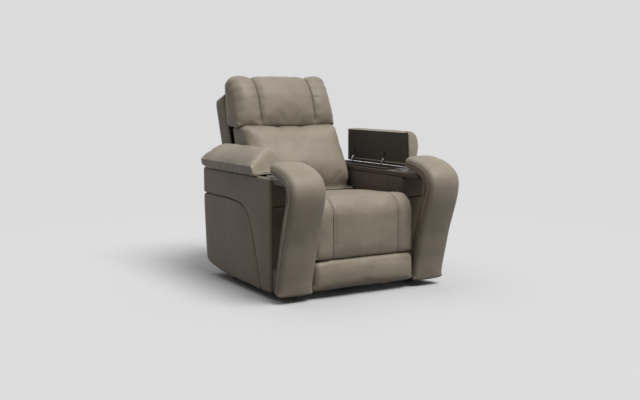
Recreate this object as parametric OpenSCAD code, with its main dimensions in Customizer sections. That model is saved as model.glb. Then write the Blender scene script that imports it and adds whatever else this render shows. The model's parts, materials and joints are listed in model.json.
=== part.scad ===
// Power recliner seat for a home cinema, on two fixed storage arms.
// Origin on the floor in the middle plane, front towards -Y, +Z up.

/* [Overall] */
// Clear width between the two arms
seat_w = 600; // [580:5:640]
// Height of the arm top above the floor
arm_h = 587; // [575:1:600]
// Depth of one arm box
arm_d = 787; // [780:1:810]
// Width of one arm box
arm_w = 166; // [160:1:190]
// From the origin forward to the front of the arm box
arm_front = 270; // [265:1:275]

/* [Arms] */
// Gap under the arm panels
arm_gap = 34; // [25:1:45]
// Foam and leather over a board
skin_t = 14.7; // [10:0.1:16]
// Plywood board
board_t = 15; // [9:0.5:16]
// Thickness of the padded arm top
top_t = 30; // [24:1:36]
// Radius of the arm top's long edges
top_r = 14; // [6:1:15]
// Width of the groove round the lower side panel
groove_w = 3; // [2:0.5:6]
// Furthest reach of the curved front pad's middle line from the arm box
pad_reach = 210; // [200:1:230]
// Thickness of the curved front pad with its board
pad_t = 58; // [50:1:64]
// Curved board behind the front pad
pad_board_t = 12; // [9:0.5:14]
// How far the front pad stands out past the arm box's side
pad_over = 10; // [0:1:16]
// Crown of the front pad
pad_crown = 12; // [0:1:16]

/* [Storage] */
// Length of the bin's mouth
bin_l = 550; // [480:2:550]
// Width of the bin's mouth
bin_w = 80; // [70:1:81]
// Depth of the bin
bin_h = 150; // [100:5:200]
// Wall of the bin
bin_t = 3; // [2:0.5:4]
// Inner radius of the cup holder
cup_r = 42.5; // [36:0.5:42.5]
// Depth of the cup holder
cup_h = 80; // [50:1:100]
// Sheet of the cup holder
cup_t = 1.5; // [0.8:0.1:1.5]
// Radius of the cup holder's flange
cup_flange_r = 54; // [50:1:58]
// Lid length over its ends
lid_l = 652; // [640:1:656]
// Lid height from its underside to the crown
lid_h = 124; // [90:1:130]
// How far the lid hangs over the arm's outer side
lid_over = 20; // [14:1:24]
// Lid board
lid_board_t = 11; // [8:0.5:12]
// Gap between the arm top and the closed lid
lid_gap = 3; // [2.8:0.1:6]
// Height of the lid's hinge axis above the arm top
lid_axis_h = 24.5; // [24:0.5:26]

/* [Seat] */
// Height of the seat at its front seam
seat_h = 487; // [480:1:500]
// Seat deck height, where the cushion rests
deck_h = 396; // [392:1:400]
// Front roll radius, which turns with the leg rest
roll_r = 85; // [78:1:86]
// From the origin forward to the roll's axis
roll_y = 305; // [300:1:310]
// Leg rest length below the roll's axis
leg_l = 354; // [330:2:360]
// Height of the lower pad in the leg rest
foot_pad_h = 139; // [110:1:150]
// Thickness of the leg rest's pads
leg_pad_t = 60; // [45:1:60]
// Depth of the sewn channels
channel_d = 9; // [0:1:12]
// Sewn channels, from the middle plane
channel_x = 189; // [150:1:200]

/* [Back] */
// Tilt of the back
back_tilt = 18.5; // [16:0.5:20]
// Height of the back's pivot
back_pivot_h = 370; // [366:1:374]
// From the origin back to the pivot
back_pivot_y = 300; // [296:1:306]
// Length of the outer shell above the pivot
shell_up = 666; // [640:1:680]
// Length of the outer shell below the pivot
shell_down = 129; // [100:1:130]
// Depth of the outer shell
shell_d = 120; // [100:1:126]
// Wall of the outer shell
shell_t = 10; // [6:0.5:12]
// Width of the headrest
head_w = 610; // [580:2:620]
// Height of the headrest cushion
head_h = 268; // [240:1:280]
// Depth of the headrest cushion
head_d = 214; // [190:1:220]

/* [Steel] */
// Radius of the shafts
shaft_r = 8; // [7:0.5:9]
// Radius of the steel tubes
tube_r = 12; // [11:0.5:13]
// Plate of the brackets and arms
plate_t = 6; // [4:0.5:6]
// Drive crank length
crank_l = 80; // [70:1:84]
// Radius of the glides
glide_r = 22; // [16:1:24]

/* [Controls] */
// Width of the switch plate
switch_l = 112; // [104:1:124]
// Height of the switch plate
switch_h = 40; // [34:1:44]
// Side of one button
button_w = 17; // [12:0.5:18]
// Button travel
button_travel = 1.5; // [1:0.1:2]

/* [Hidden] */
$fn = 48;
// Cuts overrun their walls by this
over = 1;
// Joint gap between neighbouring pieces
fit = 0.3;
// Radial play of a shaft in its bore
play = 0.05;

// Planes of the right arm box; the left one is its mirror image
arm_in = seat_w / 2;
arm_out = arm_in + arm_w;
arm_y0 = -arm_front;
arm_y1 = arm_y0 + arm_d;
arm_under = arm_h - top_t;
arm_mid = (arm_in + arm_out) / 2;
inner_board = arm_in + skin_t + fit;
outer_board = arm_out - skin_t - fit - board_t;
front_board = arm_y0 + skin_t + fit;
rear_lean = 30;
rear_board = arm_y1 - rear_lean - skin_t - fit - board_t;
frame_low = 88;
panel_inset = 2;

// Side groove, as shares of the arm's depth and height, from the rear to the floor
groove_shares = [
  [1, 0.761], [0.809, 0.76], [0.648, 0.76], [0.54, 0.755], [0.45, 0.744], [0.376, 0.722],
  [0.327, 0.678], [0.291, 0.632], [0.25, 0.52], [0.211, 0.375], [0.172, 0.215], [0.132, 0.055]
];
// Lower edge of the side panel, as shares of the arm's depth and height, front to rear
hem_shares = [[0.3, 0.06], [0.54, 0.064], [0.713, 0.075], [0.827, 0.094], [0.911, 0.113], [0.962, 0.145]];
// Leaning rear edge of the arm, as shares of the lean and the arm's height, going up
rear_shares = [[1, 0.15], [0.63, 0.264], [0.3, 0.451], [0, 0.637]];

// Middle line of the curved front pad, floor to tip: shares of its reach, the arm's height
// and the pad's thickness
pad_shares = [
  [0.42, 0.065, 0.93], [0.486, 0.204, 0.97], [0.59, 0.348, 1], [0.71, 0.511, 1], [0.852, 0.681, 1],
  [0.938, 0.784, 0.97], [0.995, 0.869, 0.93], [1, 0.925, 0.93], [0.933, 0.973, 0.9],
  [0.79, 1.012, 0.84], [0.543, 1.044, 0.8], [0.25, 1.069, 0.69], [0.11, 1.08, 0.55]
];
pad_steps = 2;
pad_inset = 2;
pad_in = arm_in - pad_inset;
pad_out = arm_out + pad_over;
// Toe block that carries the foot of the front pad
toe_inset = 20;
toe_low = 40;
toe_deep = 54;
toe_high = 60;
toe_rise = 150;

// Storage
bin_y0 = -97;
bin_y1 = bin_y0 + bin_l;
bin_x0 = arm_mid - bin_w / 2;
cup_y = -193;
cup_flange_t = 2;
lid_y0 = -124;
lid_under = arm_h + lid_gap;
lid_inset = 2;
lid_in = arm_in + lid_inset;
lid_out = arm_out + lid_over;
lid_axis_in = 2.5;
lid_axis_x = arm_out - lid_axis_in;
lid_axis_z = arm_h + lid_axis_h;
hinge_ys = [100, 405];
hinge_pin_r = 2.5;
knuckle_r = 6;
strap_half = 5;
strap_t = 4;
leaf_t = 2.5;
leaf_l = 36;
foot_l = 16;
foot_t = 2.2;
slot_gap = 3;
slot_in = 49;
slot_high = 24;
// Bent strap of the lid's hinge, from its foot over to the axis: distances in from the axis,
// and heights above the arm top
strap_points = [[36, 1.1], [38.5, 11], [34, 25], [24, 35], [11, 37], [2, 32], [0, 24.5]];

// Seat
roll_axis = [-roll_y, seat_h - roll_r];
seat_side_gap = 4;
seat_half = arm_in - seat_side_gap;
leg_side_gap = 10;
leg_half = arm_in - leg_side_gap;
seat_front = 37;
roll_gap = 2.5;
leg_inner_r = 36;
leg_back = roll_r - leg_pad_t;
leg_seam_gap = 3;
leg_seam_in = 8;
seat_rear = 255;
seat_rear_h = 449;
seat_soft = 8;
leg_soft = 18;
seat_crown = 6;
leg_crown = 20;
channel_w = 9;
leg_board_t = 12;
leg_board_top = 42;
rail_w = 16;
rail_gap = 8;
rail_out = arm_in - rail_gap;
rail_low = 352;
rail_y0 = -215;
rail_y1 = 250;
cross_rail_w = 25;
ear_low = 318;
ear_knee = 22;
ear_r = 14;
// Steel plates and links, from the arm's inner side
ear_in = 50;
ear_x = arm_in - ear_in;
strap_in = 38;
strap_x = arm_in - strap_in;
lug_in = 60;
lug_x = arm_in - lug_in;
link_in = 70;
link_x = arm_in - link_in;
lug_shares = [0.375, -0.9375];
lug = crank_l * lug_shares;
web_t = 3;
web_w = 50;
web_count = 5;

// Base
base_in = 38;
base_x = arm_in - base_in;
base_w = 26;
base_low = 20;
base_t = 28;
base_y0 = -230;
base_y1 = 440;
glide_h = 20;
glide_share = 0.7;
tube_ys = [-200, 15, 415];
base_tube_z = 60;
post_ys = [-160, 195];
post_w = 40;
// Cleats that hold the arm boxes to the posts
cleat_low = 240;
cleat_high = 330;

// Leg rest drive
drive_axis = [-60, 230];
pin_r = 5;
open_play = 1.5;
link_half = 9;
yoke_r = 60;
yoke_phase = 42.5;
yoke_x = -90;
yoke_play = 2;
yoke_t = 8;
rail_half = 15;
rail_t = 15;
drive_rail_y0 = -212;
drive_rail_y1 = 118;
motor_r = 24;
motor_l = 120;

// Back, in its own frame: x across, y behind the pivot plane, z up along the back
shell_front = 103;
shell_side_gap = 6;
shell_half = arm_in - shell_side_gap;
back_side_gap = 11;
back_half = arm_in - back_side_gap;
frame_mid = 88;
back_rear = frame_mid - tube_r - fit;
frame_in = 65;
frame_x = arm_in - frame_in;
back_low = 457;
back_low_y = 195;
back_crown = 24;
back_soft = 30;
hinge_plate_in = 39;
hinge_plate_x = arm_in - hinge_plate_in;
fixed_plate_x = hinge_plate_x + plate_t + fit;
lever_r = 75;
lever_phase = 20;
lever_x = 90;
back_rail_y0 = 20;
back_rail_y1 = 342;
// Front of the back cushion: shares of the shell's length above the pivot and of its depth
back_shares = [
  [0.09, -0.98], [0.137, -1.13], [0.205, -1.18], [0.303, -1.125], [0.414, -0.96],
  [0.52, -0.79], [0.59, -0.66], [0.628, -0.5], [0.65, -0.25], [0.668, 0.05], [0.684, 0.36], [0.69, 0.58]
];

// Headrest
head_axis = [418, 800];
head_front = 384;
head_low = 806;
head_half = head_w / 2;
head_soft = 34;
head_crown = 22;
head_channel_x = 170;
head_board_t = 10;
// Headrest outline: shares of its depth and height; front, going up, then rear, going down
head_front_shares = [
  [0.2, -0.02], [0.085, -0.015], [0.015, 0.06], [0, 0.22], [0.065, 0.425], [0.168, 0.63],
  [0.33, 0.83], [0.54, 0.97], [0.72, 1], [0.88, 0.97]
];
head_rear_shares = [
  [0.98, 0.86], [1, 0.7], [0.99, 0.55], [0.955, 0.42], [0.905, 0.31], [0.85, 0.2],
  [0.78, 0.1], [0.7, 0.05], [0.52, 0.04], [0.35, 0.03]
];

// Switch plate on the inner side of the left arm
switch_y = -150;
switch_drop = 55;
switch_z = arm_h - switch_drop;
switch_t = 2.5;
switch_box_t = 20;
switch_wall = 2;
button_ys = [-36, -12, 12, 36];
button_proud = button_travel * 2;
button_play = 0.4;
stem_r = 4;
stem_l = 12;

// Leather, steel and wood tones
leather_tone = [0.6, 0.57, 0.5];
shade_tone = [0.33, 0.29, 0.25];
wood_tone = [0.72, 0.58, 0.4];
dark_tone = [0.1, 0.1, 0.1];
steel_tone = [0.7, 0.7, 0.72];
foam_tone = [0.55, 0.52, 0.46];

function unit(v) = v / norm(v);
// One point of a smooth curve through four
function blend(a, b, c, d, t) =
  0.5 * (2 * b + (c - a) * t + (2 * a - 5 * b + 4 * c - d) * t * t + (3 * b - a - 3 * c + d) * t * t * t);
// A smooth curve through the points, with n steps between each two
function smooth(p, n) = concat(
  [for (i = [0:len(p) - 2]) each [for (k = [0:n - 1])
    blend(p[max(i - 1, 0)], p[i], p[i + 1], p[min(i + 2, len(p) - 1)], k / n)]],
  [p[len(p) - 1]]);
function backwards(p) = [for (i = [len(p) - 1:-1:0]) p[i]];
// Outward direction of a closed counter-clockwise loop at point i
function outward(loop, i) = let (
    n = len(loop),
    d = loop[(i + 1) % n] - loop[(i + n - 1) % n])
  unit([d[1], -d[0]]);
// A loop drawn inwards by all, and by face more where its weight is 1
function drawn(loop, weights, all, face) = [for (i = [0:len(loop) - 1])
  loop[i] - outward(loop, i) * (all + face * weights[i])];
// How far a soft edge of radius r is drawn in at share u of the half width w
function soft_edge(u, w, r) = let (t = max(0, (abs(u) * w - (w - r)) / r)) r * (1 - sqrt(max(0, 1 - t * t)));
// How far a sewn channel of depth d draws the face in at x
function sewn(x, at, wide, d) = let (t = (abs(x) - at) / wide) d * exp(-t * t);

// Closed skin of triangles over equal rings, with a ladder of triangles over each end
module skin(rings) {
  n = len(rings[0]);
  m = len(rings);
  half = n / 2;
  sides = [for (j = [0:m - 2]) each [for (i = [0:n - 1]) let (
      a = j * n + i,
      b = j * n + (i + 1) % n,
      c = a + n,
      d = b + n)
    each [[a, c, d], [a, d, b]]]];
  first = [for (i = [0:half - 2]) each [[i, i + 1, n - 1 - i], [i + 1, n - 2 - i, n - 1 - i]]];
  base = (m - 1) * n;
  last = [for (i = [0:half - 2]) each
    [[base + i, base + n - 1 - i, base + i + 1], [base + i + 1, base + n - 1 - i, base + n - 2 - i]]];
  polyhedron([for (r = rings) each r], concat(sides, first, last));
}

// Cushion with one side outline, carried across x: crowned, soft at both ends, with channels
module cushion(loop, weights, x0, x1, shares, soft, crown, channel_at, channel_deep) {
  mid = (x0 + x1) / 2;
  half = (x1 - x0) / 2;
  skin([for (u = shares) let (
      x = mid + u * half,
      face = crown * u * u + sewn(x, channel_at, channel_w, channel_deep),
      ring = drawn(loop, weights, soft_edge(u, half, soft) * 0.9, face))
    [for (p = ring) [x, p[0], p[1]]]]);
}

plain_shares = [-1, -0.985, -0.95, -0.88, -0.7, -0.35, 0, 0.35, 0.7, 0.88, 0.95, 0.985, 1];
pad_width_shares = [-1, -0.97, -0.88, -0.5, 0, 0.5, 0.88, 0.97, 1];
function channel_shares(at, wide, half) = let (
    c = at / half,
    w = wide / half)
  [-1, -0.985, -0.95, -0.88, -c - 2 * w, -c - 0.8 * w, -c, -c + 0.8 * w, -c + 2 * w, -0.3,
   0, 0.3, c - 2 * w, c - 0.8 * w, c, c + 0.8 * w, c + 2 * w, 0.88, 0.95, 0.985, 1];

// Weights of a loop whose first half is the face and whose second half is the back
function face_weights(n) = [for (i = [0:n - 1]) i < n / 2 ? sin(180 * (i + 0.5) / (n / 2)) : 0];

// A prism of a side outline, from x0 to x1
module side_prism(points, x0, x1) {
  translate([x0, 0, 0])
    rotate([90, 0, 90])
      linear_extrude(x1 - x0)
        polygon(points);
}
module block(x0, x1, y0, y1, z0, z1) {
  translate([x0, y0, z0])
    cube([x1 - x0, y1 - y0, z1 - z0]);
}
// A round bar across, from x0 to x1, about the side point p
module bar(p, r, x0, x1) {
  translate([x0, p[0], p[1]])
    rotate([0, 90, 0])
      cylinder(r = r, h = x1 - x0);
}
// The right hand piece, or its mirror image for the left
module hand(left) {
  mirror([left ? 1 : 0, 0, 0])
    children();
}
module both() {
  children();
  mirror([1, 0, 0])
    children();
}

// Base
module base_rails() {
  color(dark_tone)
    both()
      block(base_x, base_x + base_w, base_y0, base_y1, base_low, base_low + base_t);
}
module cross_tubes() {
  color(dark_tone)
    for (y = tube_ys)
      bar([y, base_tube_z], tube_r, -base_x - base_w, base_x + base_w);
}
module glides() {
  color(dark_tone)
    both() {
      for (y = [base_y0 + glide_r, base_y1 - glide_r])
        translate([base_x + base_w / 2, y, 0])
          cylinder(r = glide_r, h = glide_h - fit);
      for (y = [arm_y0 + post_w, arm_y0 + arm_d * glide_share])
        glide_on_stem(arm_mid, y, frame_low - fit);
    }
  color(dark_tone)
    glide_on_stem(0, tube_ys[1], base_tube_z - tube_r - fit);
}
// A round glide with a stem up to what it carries
module glide_on_stem(x, y, high) {
  translate([x, y, 0]) {
    cylinder(r = glide_r, h = glide_h - fit);
    cylinder(r = tube_r, h = high);
  }
}
module seat_posts() {
  color(dark_tone)
    both()
      for (y = post_ys) {
        block(rail_out - rail_w, rail_out, y - post_w / 2, y + post_w / 2,
          base_low + base_t + fit, rail_low - fit);
        block(rail_out - over, arm_in - fit, y - post_w / 2, y + post_w / 2, cleat_low, cleat_high);
      }
}
// Side outline of the ear that carries the leg rest's shaft
function ear_outline() = [
  [roll_axis[0] - ear_r * 0.8, roll_axis[1]],
  [roll_axis[0], roll_axis[1] - ear_r],
  [roll_axis[0] + ear_knee - ear_r, ear_low],
  [rail_y0, ear_low],
  [rail_y0, ear_low + ear_knee],
  [roll_axis[0] + ear_knee + ear_r, ear_low + ear_knee],
  [roll_axis[0] + ear_r, roll_axis[1]]
];
module seat_frame() {
  color(wood_tone)
    both()
      block(rail_out - rail_w, rail_out, rail_y0, rail_y1, rail_low, deck_h - web_t - fit);
  color(wood_tone) {
    block(fit + rail_w - rail_out, rail_out - rail_w - fit, rail_y0, rail_y0 + cross_rail_w,
      ear_low, deck_h - web_t - fit);
    for (y = [rail_y0 / 2 + rail_y1 / 2, rail_y1 - cross_rail_w])
      block(fit + rail_w - rail_out, rail_out - rail_w - fit, y, y + cross_rail_w,
        rail_low, deck_h - web_t - fit);
  }
  color(steel_tone)
    both()
      difference() {
        union() {
          side_prism(ear_outline(), ear_x, ear_x + plate_t);
          bar(roll_axis, ear_r, ear_x, ear_x + plate_t);
        }
        bar(roll_axis, shaft_r + play, ear_x - over, ear_x + plate_t + over);
      }
  color(steel_tone)
    both()
      difference() {
        union() {
          block(fixed_plate_x, fixed_plate_x + plate_t, rail_y1 - cross_rail_w * 2, back_pivot_y,
            rail_low, back_pivot_h + ear_r);
          bar([back_pivot_y, back_pivot_h], ear_r, fixed_plate_x, fixed_plate_x + plate_t);
        }
        bar([back_pivot_y, back_pivot_h], shaft_r + play, fixed_plate_x - over,
          fixed_plate_x + plate_t + over);
      }
}
module seat_webbing() {
  pitch = (rail_out - rail_w) * 2 / web_count;
  color(dark_tone)
    for (i = [0:web_count - 1])
      block((i - web_count / 2 + 0.5) * pitch - web_w / 2, (i - web_count / 2 + 0.5) * pitch + web_w / 2,
        rail_y0, rail_y1, deck_h - web_t, deck_h - fit);
}

// Seat cushion: crowned top, and a hollow front end that clears the turning roll
seat_top_shares = [[1, 0], [0.94, 0.1], [0.69, 0.4], [0.49, 0.6], [0.25, 0.76], [0.08, 0.82], [0, 0.76]];
function seat_loop() = let (
    front = roll_y - seat_front,
    r = roll_r + roll_gap,
    top = [for (s = seat_top_shares)
      [-front + s[0] * (front + seat_rear), seat_rear_h + s[1] * (seat_h - seat_rear_h)]],
    low = concat(
      [for (a = [64, 46, 26, 4]) [roll_axis[0] + r * cos(a), roll_axis[1] + r * sin(a)]],
      [[roll_axis[0] + r + over, deck_h], [0, deck_h], [seat_rear, deck_h]]))
  concat(top, low);
module seat_cushion() {
  loop = seat_loop();
  color(foam_tone)
    cushion(loop, face_weights(len(loop)), -seat_half, seat_half, plain_shares, seat_soft, seat_crown,
      channel_x, 0);
}
module control_box() {
  color(dark_tone)
    block(-post_w, post_w * 2, tube_ys[1] - post_w, tube_ys[1] + post_w,
      base_tube_z + tube_r, base_tube_z + tube_r * 4);
}

// Leg rest, at rest hanging from the roll's axis
leg_low = roll_axis[1] - leg_l;
seam_z = leg_low + foot_pad_h;
function leg_loop() = let (
    c = roll_axis,
    face = concat(
      [for (a = [66, 85, 105, 125, 145, 165]) [c[0] + roll_r * cos(a), c[1] + roll_r * sin(a)]],
      [for (s = [0, 0.25, 0.5, 0.72, 0.9]) [c[0] - roll_r - over * sin(180 * s),
        c[1] - s * (c[1] - seam_z)]],
      [[c[0] - roll_r + leg_seam_in, seam_z + leg_seam_gap]]),
    rear = concat(
      [[c[0] - leg_back, seam_z + leg_seam_gap]],
      [for (s = [0.8, 0.6, 0.4]) [c[0] - leg_back, seam_z + (c[1] - seam_z) * (1 - s)]],
      [[c[0] - leg_inner_r * 0.85, c[1] - leg_inner_r * 0.9]],
      [for (a = [195, 172, 150, 128, 106, 86, 68])
        [c[0] + leg_inner_r * cos(a), c[1] + leg_inner_r * sin(a)]]))
  concat(face, rear);
module leg_pad() {
  loop = leg_loop();
  color(leather_tone)
    cushion(loop, [for (i = [0:len(loop) - 1]) i < 12 ? 1 : 0], -leg_half, leg_half,
      channel_shares(channel_x, channel_w, leg_half), leg_soft, leg_crown, channel_x, channel_d);
}
foot_face_shares = [[0.7, 1], [0.93, 0.96], [1.03, 0.8], [1.07, 0.55], [1.07, 0.35], [1, 0.12], [0.8, 0]];
function foot_loop() = let (
    c = roll_axis[0] - leg_back,
    high = foot_pad_h - leg_seam_gap,
    face = [for (s = foot_face_shares) [c - s[0] * leg_pad_t, leg_low + s[1] * high]],
    rear = [for (s = [0, 0.16, 0.33, 0.5, 0.67, 0.84, 1]) [c, leg_low + s * high]])
  concat(face, rear);
module foot_pad() {
  loop = foot_loop();
  color(leather_tone)
    cushion(loop, face_weights(len(loop)), -leg_half, leg_half, plain_shares, leg_soft, leg_crown,
      channel_x, 0);
}
module footrest_board() {
  y = roll_axis[0] - leg_back + fit;
  color(wood_tone)
    block(-leg_half + leg_soft, leg_half - leg_soft, y, y + leg_board_t,
      leg_low + leg_soft, roll_axis[1] - leg_board_top);
}
module footrest_arms() {
  y = roll_axis[0] - leg_back + leg_board_t + fit * 2;
  color(steel_tone) {
    bar(roll_axis, shaft_r, -strap_x - plate_t, strap_x + plate_t);
    both() {
      bar(roll_axis, ear_r, strap_x, strap_x + plate_t);
      side_prism([[y, roll_axis[1]], [y, leg_low + foot_pad_h / 2],
        [y + ear_r, leg_low + foot_pad_h / 2], [roll_axis[0] + ear_r * 0.8, roll_axis[1]]],
        strap_x, strap_x + plate_t);
      bar(roll_axis, ear_r, lug_x, lug_x + plate_t);
      side_prism([[roll_axis[0] - ear_r * 0.7, roll_axis[1] - ear_r * 0.7],
        [roll_axis[0] + lug[0] - link_half, roll_axis[1] + lug[1]],
        [roll_axis[0] + lug[0] + link_half, roll_axis[1] + lug[1]],
        [roll_axis[0] + ear_r * 0.9, roll_axis[1]]],
        lug_x, lug_x + plate_t);
      bar(roll_axis + lug, link_half, lug_x, lug_x + plate_t);
      bar(roll_axis + lug, pin_r, link_x - over, lug_x + over);
    }
  }
}

// Leg rest drive
function yoke_pin() = drive_axis + yoke_r * [cos(yoke_phase - 90), sin(yoke_phase - 90)];
module drive_brackets() {
  x = base_x;
  color(dark_tone)
    both()
      difference() {
        union() {
          block(x, x + plate_t, drive_axis[0] - post_w / 2, drive_axis[0] + post_w / 2,
            base_low + base_t + fit, drive_axis[1]);
          bar(drive_axis, post_w / 2, x, x + plate_t);
        }
        bar(drive_axis, shaft_r + play, x - over, x + plate_t + over);
      }
}
module crank(at, to, x, r) {
  side = unit([to[1] - at[1], at[0] - to[0]]) * r;
  bar(at, r * 1.6, x, x + plate_t);
  bar(to, r, x, x + plate_t);
  side_prism([at + side, at - side, to - side, to + side], x, x + plate_t);
}
module drive_tube() {
  color(steel_tone) {
    bar(drive_axis, tube_r, fit - base_x, base_x - fit);
    bar(drive_axis, shaft_r, -base_x - plate_t - over, base_x + plate_t + over);
    both() {
      crank(drive_axis, drive_axis + lug, lug_x, link_half);
      bar(drive_axis + lug, pin_r, link_x - over, lug_x + over);
    }
    crank(drive_axis, yoke_pin(), yoke_x - yoke_t / 2 - plate_t - over, link_half);
    bar(yoke_pin(), pin_r, yoke_x - yoke_t / 2 - over * 2, yoke_x + yoke_t / 2 + over);
  }
}
module foot_links() {
  a = roll_axis + lug;
  b = drive_axis + lug;
  side = unit([b[1] - a[1], a[0] - b[0]]) * link_half;
  color(steel_tone)
    both()
      difference() {
        union() {
          bar(a, link_half, link_x, link_x + plate_t);
          bar(b, link_half, link_x, link_x + plate_t);
          side_prism([a + side, a - side, b - side, b + side], link_x, link_x + plate_t);
        }
        bar(a, pin_r + open_play, link_x - over, link_x + plate_t + over);
        bar(b, pin_r + play, link_x - over, link_x + plate_t + over);
      }
}
// A motor, its gear housing and the rail that its screw runs in, along y
module actuator(x, y0, y1, z, down) {
  color(dark_tone) {
    block(x - rail_half, x + rail_half, y0, y1, z, z + rail_t);
    block(x - motor_r, x + motor_r, y0 - motor_r * 2, y0 + fit, z - (down ? motor_r * 2 : 0),
      z + rail_t + (down ? 0 : motor_r * 2));
    translate([x + motor_r, y0 - motor_r, z + rail_t / 2 + (down ? -motor_r : motor_r)])
      rotate([0, 90, 0])
        cylinder(r = motor_r * 0.9, h = motor_l);
  }
}
drive_rail_z = base_tube_z + tube_r + fit;
module foot_actuator() {
  actuator(yoke_x, drive_rail_y0, drive_rail_y1, drive_rail_z, false);
}
// A slider on a rail, with a slotted yoke round a crank's pin
module shuttle(x, pin, low, high, rail_z, drop, rise) {
  wide = pin_r + yoke_play;
  difference() {
    union() {
      block(x - rail_half - pin_r, x + rail_half + pin_r, pin[0] - wide * 2.4, pin[0] + wide * 2.4,
        rail_z - pin_r, rail_z + rail_t + pin_r);
      block(x - yoke_t / 2, x + yoke_t / 2, pin[0] - wide * 2.2, pin[0] + wide * 2.2, low, high);
    }
    block(x - rail_half - fit, x + rail_half + fit, pin[0] - post_w, pin[0] + post_w,
      rail_z - fit, rail_z + rail_t + fit);
    block(x - yoke_t, x + yoke_t, pin[0] - wide, pin[0] + wide, pin[1] - drop, pin[1] + rise);
  }
}
module foot_shuttle() {
  pin = yoke_pin();
  color(steel_tone)
    shuttle(yoke_x, pin, drive_rail_z + rail_t, pin[1] + pin_r * 5, drive_rail_z,
      yoke_r - (drive_axis[1] - pin[1]) + pin_r * 2, pin_r * 2);
}

// Back
lever_pin = [back_pivot_y, back_pivot_h] + lever_r * [cos(lever_phase - 90), sin(lever_phase - 90)];
back_rail_z = rail_low - fit - rail_t;
module back_actuator() {
  actuator(lever_x, back_rail_y0, back_rail_y1, back_rail_z, true);
}
module back_shuttle() {
  color(steel_tone)
    shuttle(lever_x, lever_pin, lever_pin[1] - pin_r * 4, back_rail_z, back_rail_z,
      lever_r - (back_pivot_h - lever_pin[1]) + pin_r * 2, pin_r * 2);
}
// Places what is drawn upright about the pivot at the back's tilt
module tilted() {
  translate([0, back_pivot_y, back_pivot_h])
    rotate([-back_tilt, 0, 0])
      children();
}
// A side point in the tilted frame, as seen from the chair's frame
function laid(p) = [back_pivot_y + p[0] * cos(back_tilt) + p[1] * sin(back_tilt),
  back_pivot_h - p[0] * sin(back_tilt) + p[1] * cos(back_tilt)];
function stood(q) = let (d = q - [back_pivot_y, back_pivot_h])
  [d[0] * cos(back_tilt) - d[1] * sin(back_tilt), d[0] * sin(back_tilt) + d[1] * cos(back_tilt)];
frame_levels = [30, 230, 350, 470];
module back_frame() {
  pin = stood(lever_pin);
  color(dark_tone)
    tilted() {
      both() {
        translate([frame_x, frame_mid, frame_levels[0] - tube_r])
          cylinder(r = tube_r, h = frame_levels[3] - frame_levels[0] + tube_r * 2);
        block(hinge_plate_x, hinge_plate_x + plate_t, 0, frame_mid, -ear_r, frame_levels[0] + tube_r);
        bar([0, 0], ear_r, hinge_plate_x, hinge_plate_x + plate_t);
        bar([0, 0], shaft_r, hinge_plate_x, fixed_plate_x + plate_t + over);
      }
      bar([frame_mid, frame_levels[0]], tube_r, -hinge_plate_x - plate_t, hinge_plate_x + plate_t);
      for (z = [frame_levels[1], frame_levels[2], frame_levels[3]])
        bar([frame_mid, z], tube_r * 0.8, -frame_x, frame_x);
      for (z = [frame_levels[1], frame_levels[3]])
        block(fit + shell_t - shell_half, shell_half - shell_t - fit, frame_mid + tube_r * 0.6,
          shell_front + plate_t, z - post_w / 2, z + post_w / 2);
      crank([frame_mid, frame_levels[0]], pin, lever_x + yoke_t / 2 + over, link_half);
      bar(pin, pin_r, lever_x - yoke_t / 2 - over, lever_x + yoke_t / 2 + plate_t);
    }
}
module back_shell() {
  color(shade_tone)
    tilted()
      difference() {
        block(-shell_half, shell_half, shell_front, shell_front + shell_d, -shell_down, shell_up);
        block(shell_t - shell_half, shell_half - shell_t, shell_front - over,
          shell_front + shell_d - shell_t, -shell_down - over, shell_up - shell_t);
      }
}
function back_loop() = let (
    face = concat([[back_low_y, back_low]], [for (s = back_shares) laid([s[1] * shell_d, s[0] * shell_up])]),
    top = face[len(face) - 1],
    foot = laid([back_rear, (back_low - back_pivot_h + back_rear * sin(back_tilt)) / cos(back_tilt)]),
    n = len(face),
    rear = [for (i = [0:n - 1]) foot + (laid([back_rear, back_shares[11][0] * shell_up]) - foot)
      * (1 - i / (n - 1))])
  concat(face, rear);
module back_cushion() {
  loop = backwards(back_loop());
  n = len(loop);
  color(leather_tone)
    cushion(loop, [for (i = [0:n - 1]) i >= n / 2 ? sin(180 * (i - n / 2 + 0.8) / (n / 2 + 1)) : 0],
      -back_half, back_half, plain_shares, back_soft * 0.7, back_crown, channel_x, 0);
}

// Headrest
knuckle_x = 150;
head_knuckle_r = 7;
hinge_leaf_rear = laid([frame_mid, frame_levels[3]])[0] - tube_r * 0.8 - fit;
module head_hinge() {
  z = head_axis[1] - head_knuckle_r;
  color(dark_tone) {
    both() {
      bar(head_axis, head_knuckle_r, knuckle_x - post_w, knuckle_x - fit);
      block(knuckle_x - post_w, knuckle_x - fit, head_axis[0], hinge_leaf_rear, z - leaf_t, z + leaf_t);
      bar(head_axis, hinge_pin_r, knuckle_x - post_w, knuckle_x + post_w);
    }
  }
}
function head_outline() = concat(
  [for (s = head_front_shares) [head_front + s[0] * head_d, head_low + s[1] * head_h]],
  [for (s = head_rear_shares) [head_front + s[0] * head_d, head_low + s[1] * head_h]]);
module head_board() {
  color(dark_tone)
    both()
      difference() {
        union() {
          bar(head_axis, head_knuckle_r, knuckle_x + fit, knuckle_x + post_w);
          block(knuckle_x + fit, knuckle_x + post_w, head_axis[0], head_axis[0] + post_w * 2,
            head_axis[1] + leaf_t, head_low + head_board_t * 0.6);
        }
        bar(head_axis, hinge_pin_r + play, knuckle_x - over, knuckle_x + post_w + over);
      }
}
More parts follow.
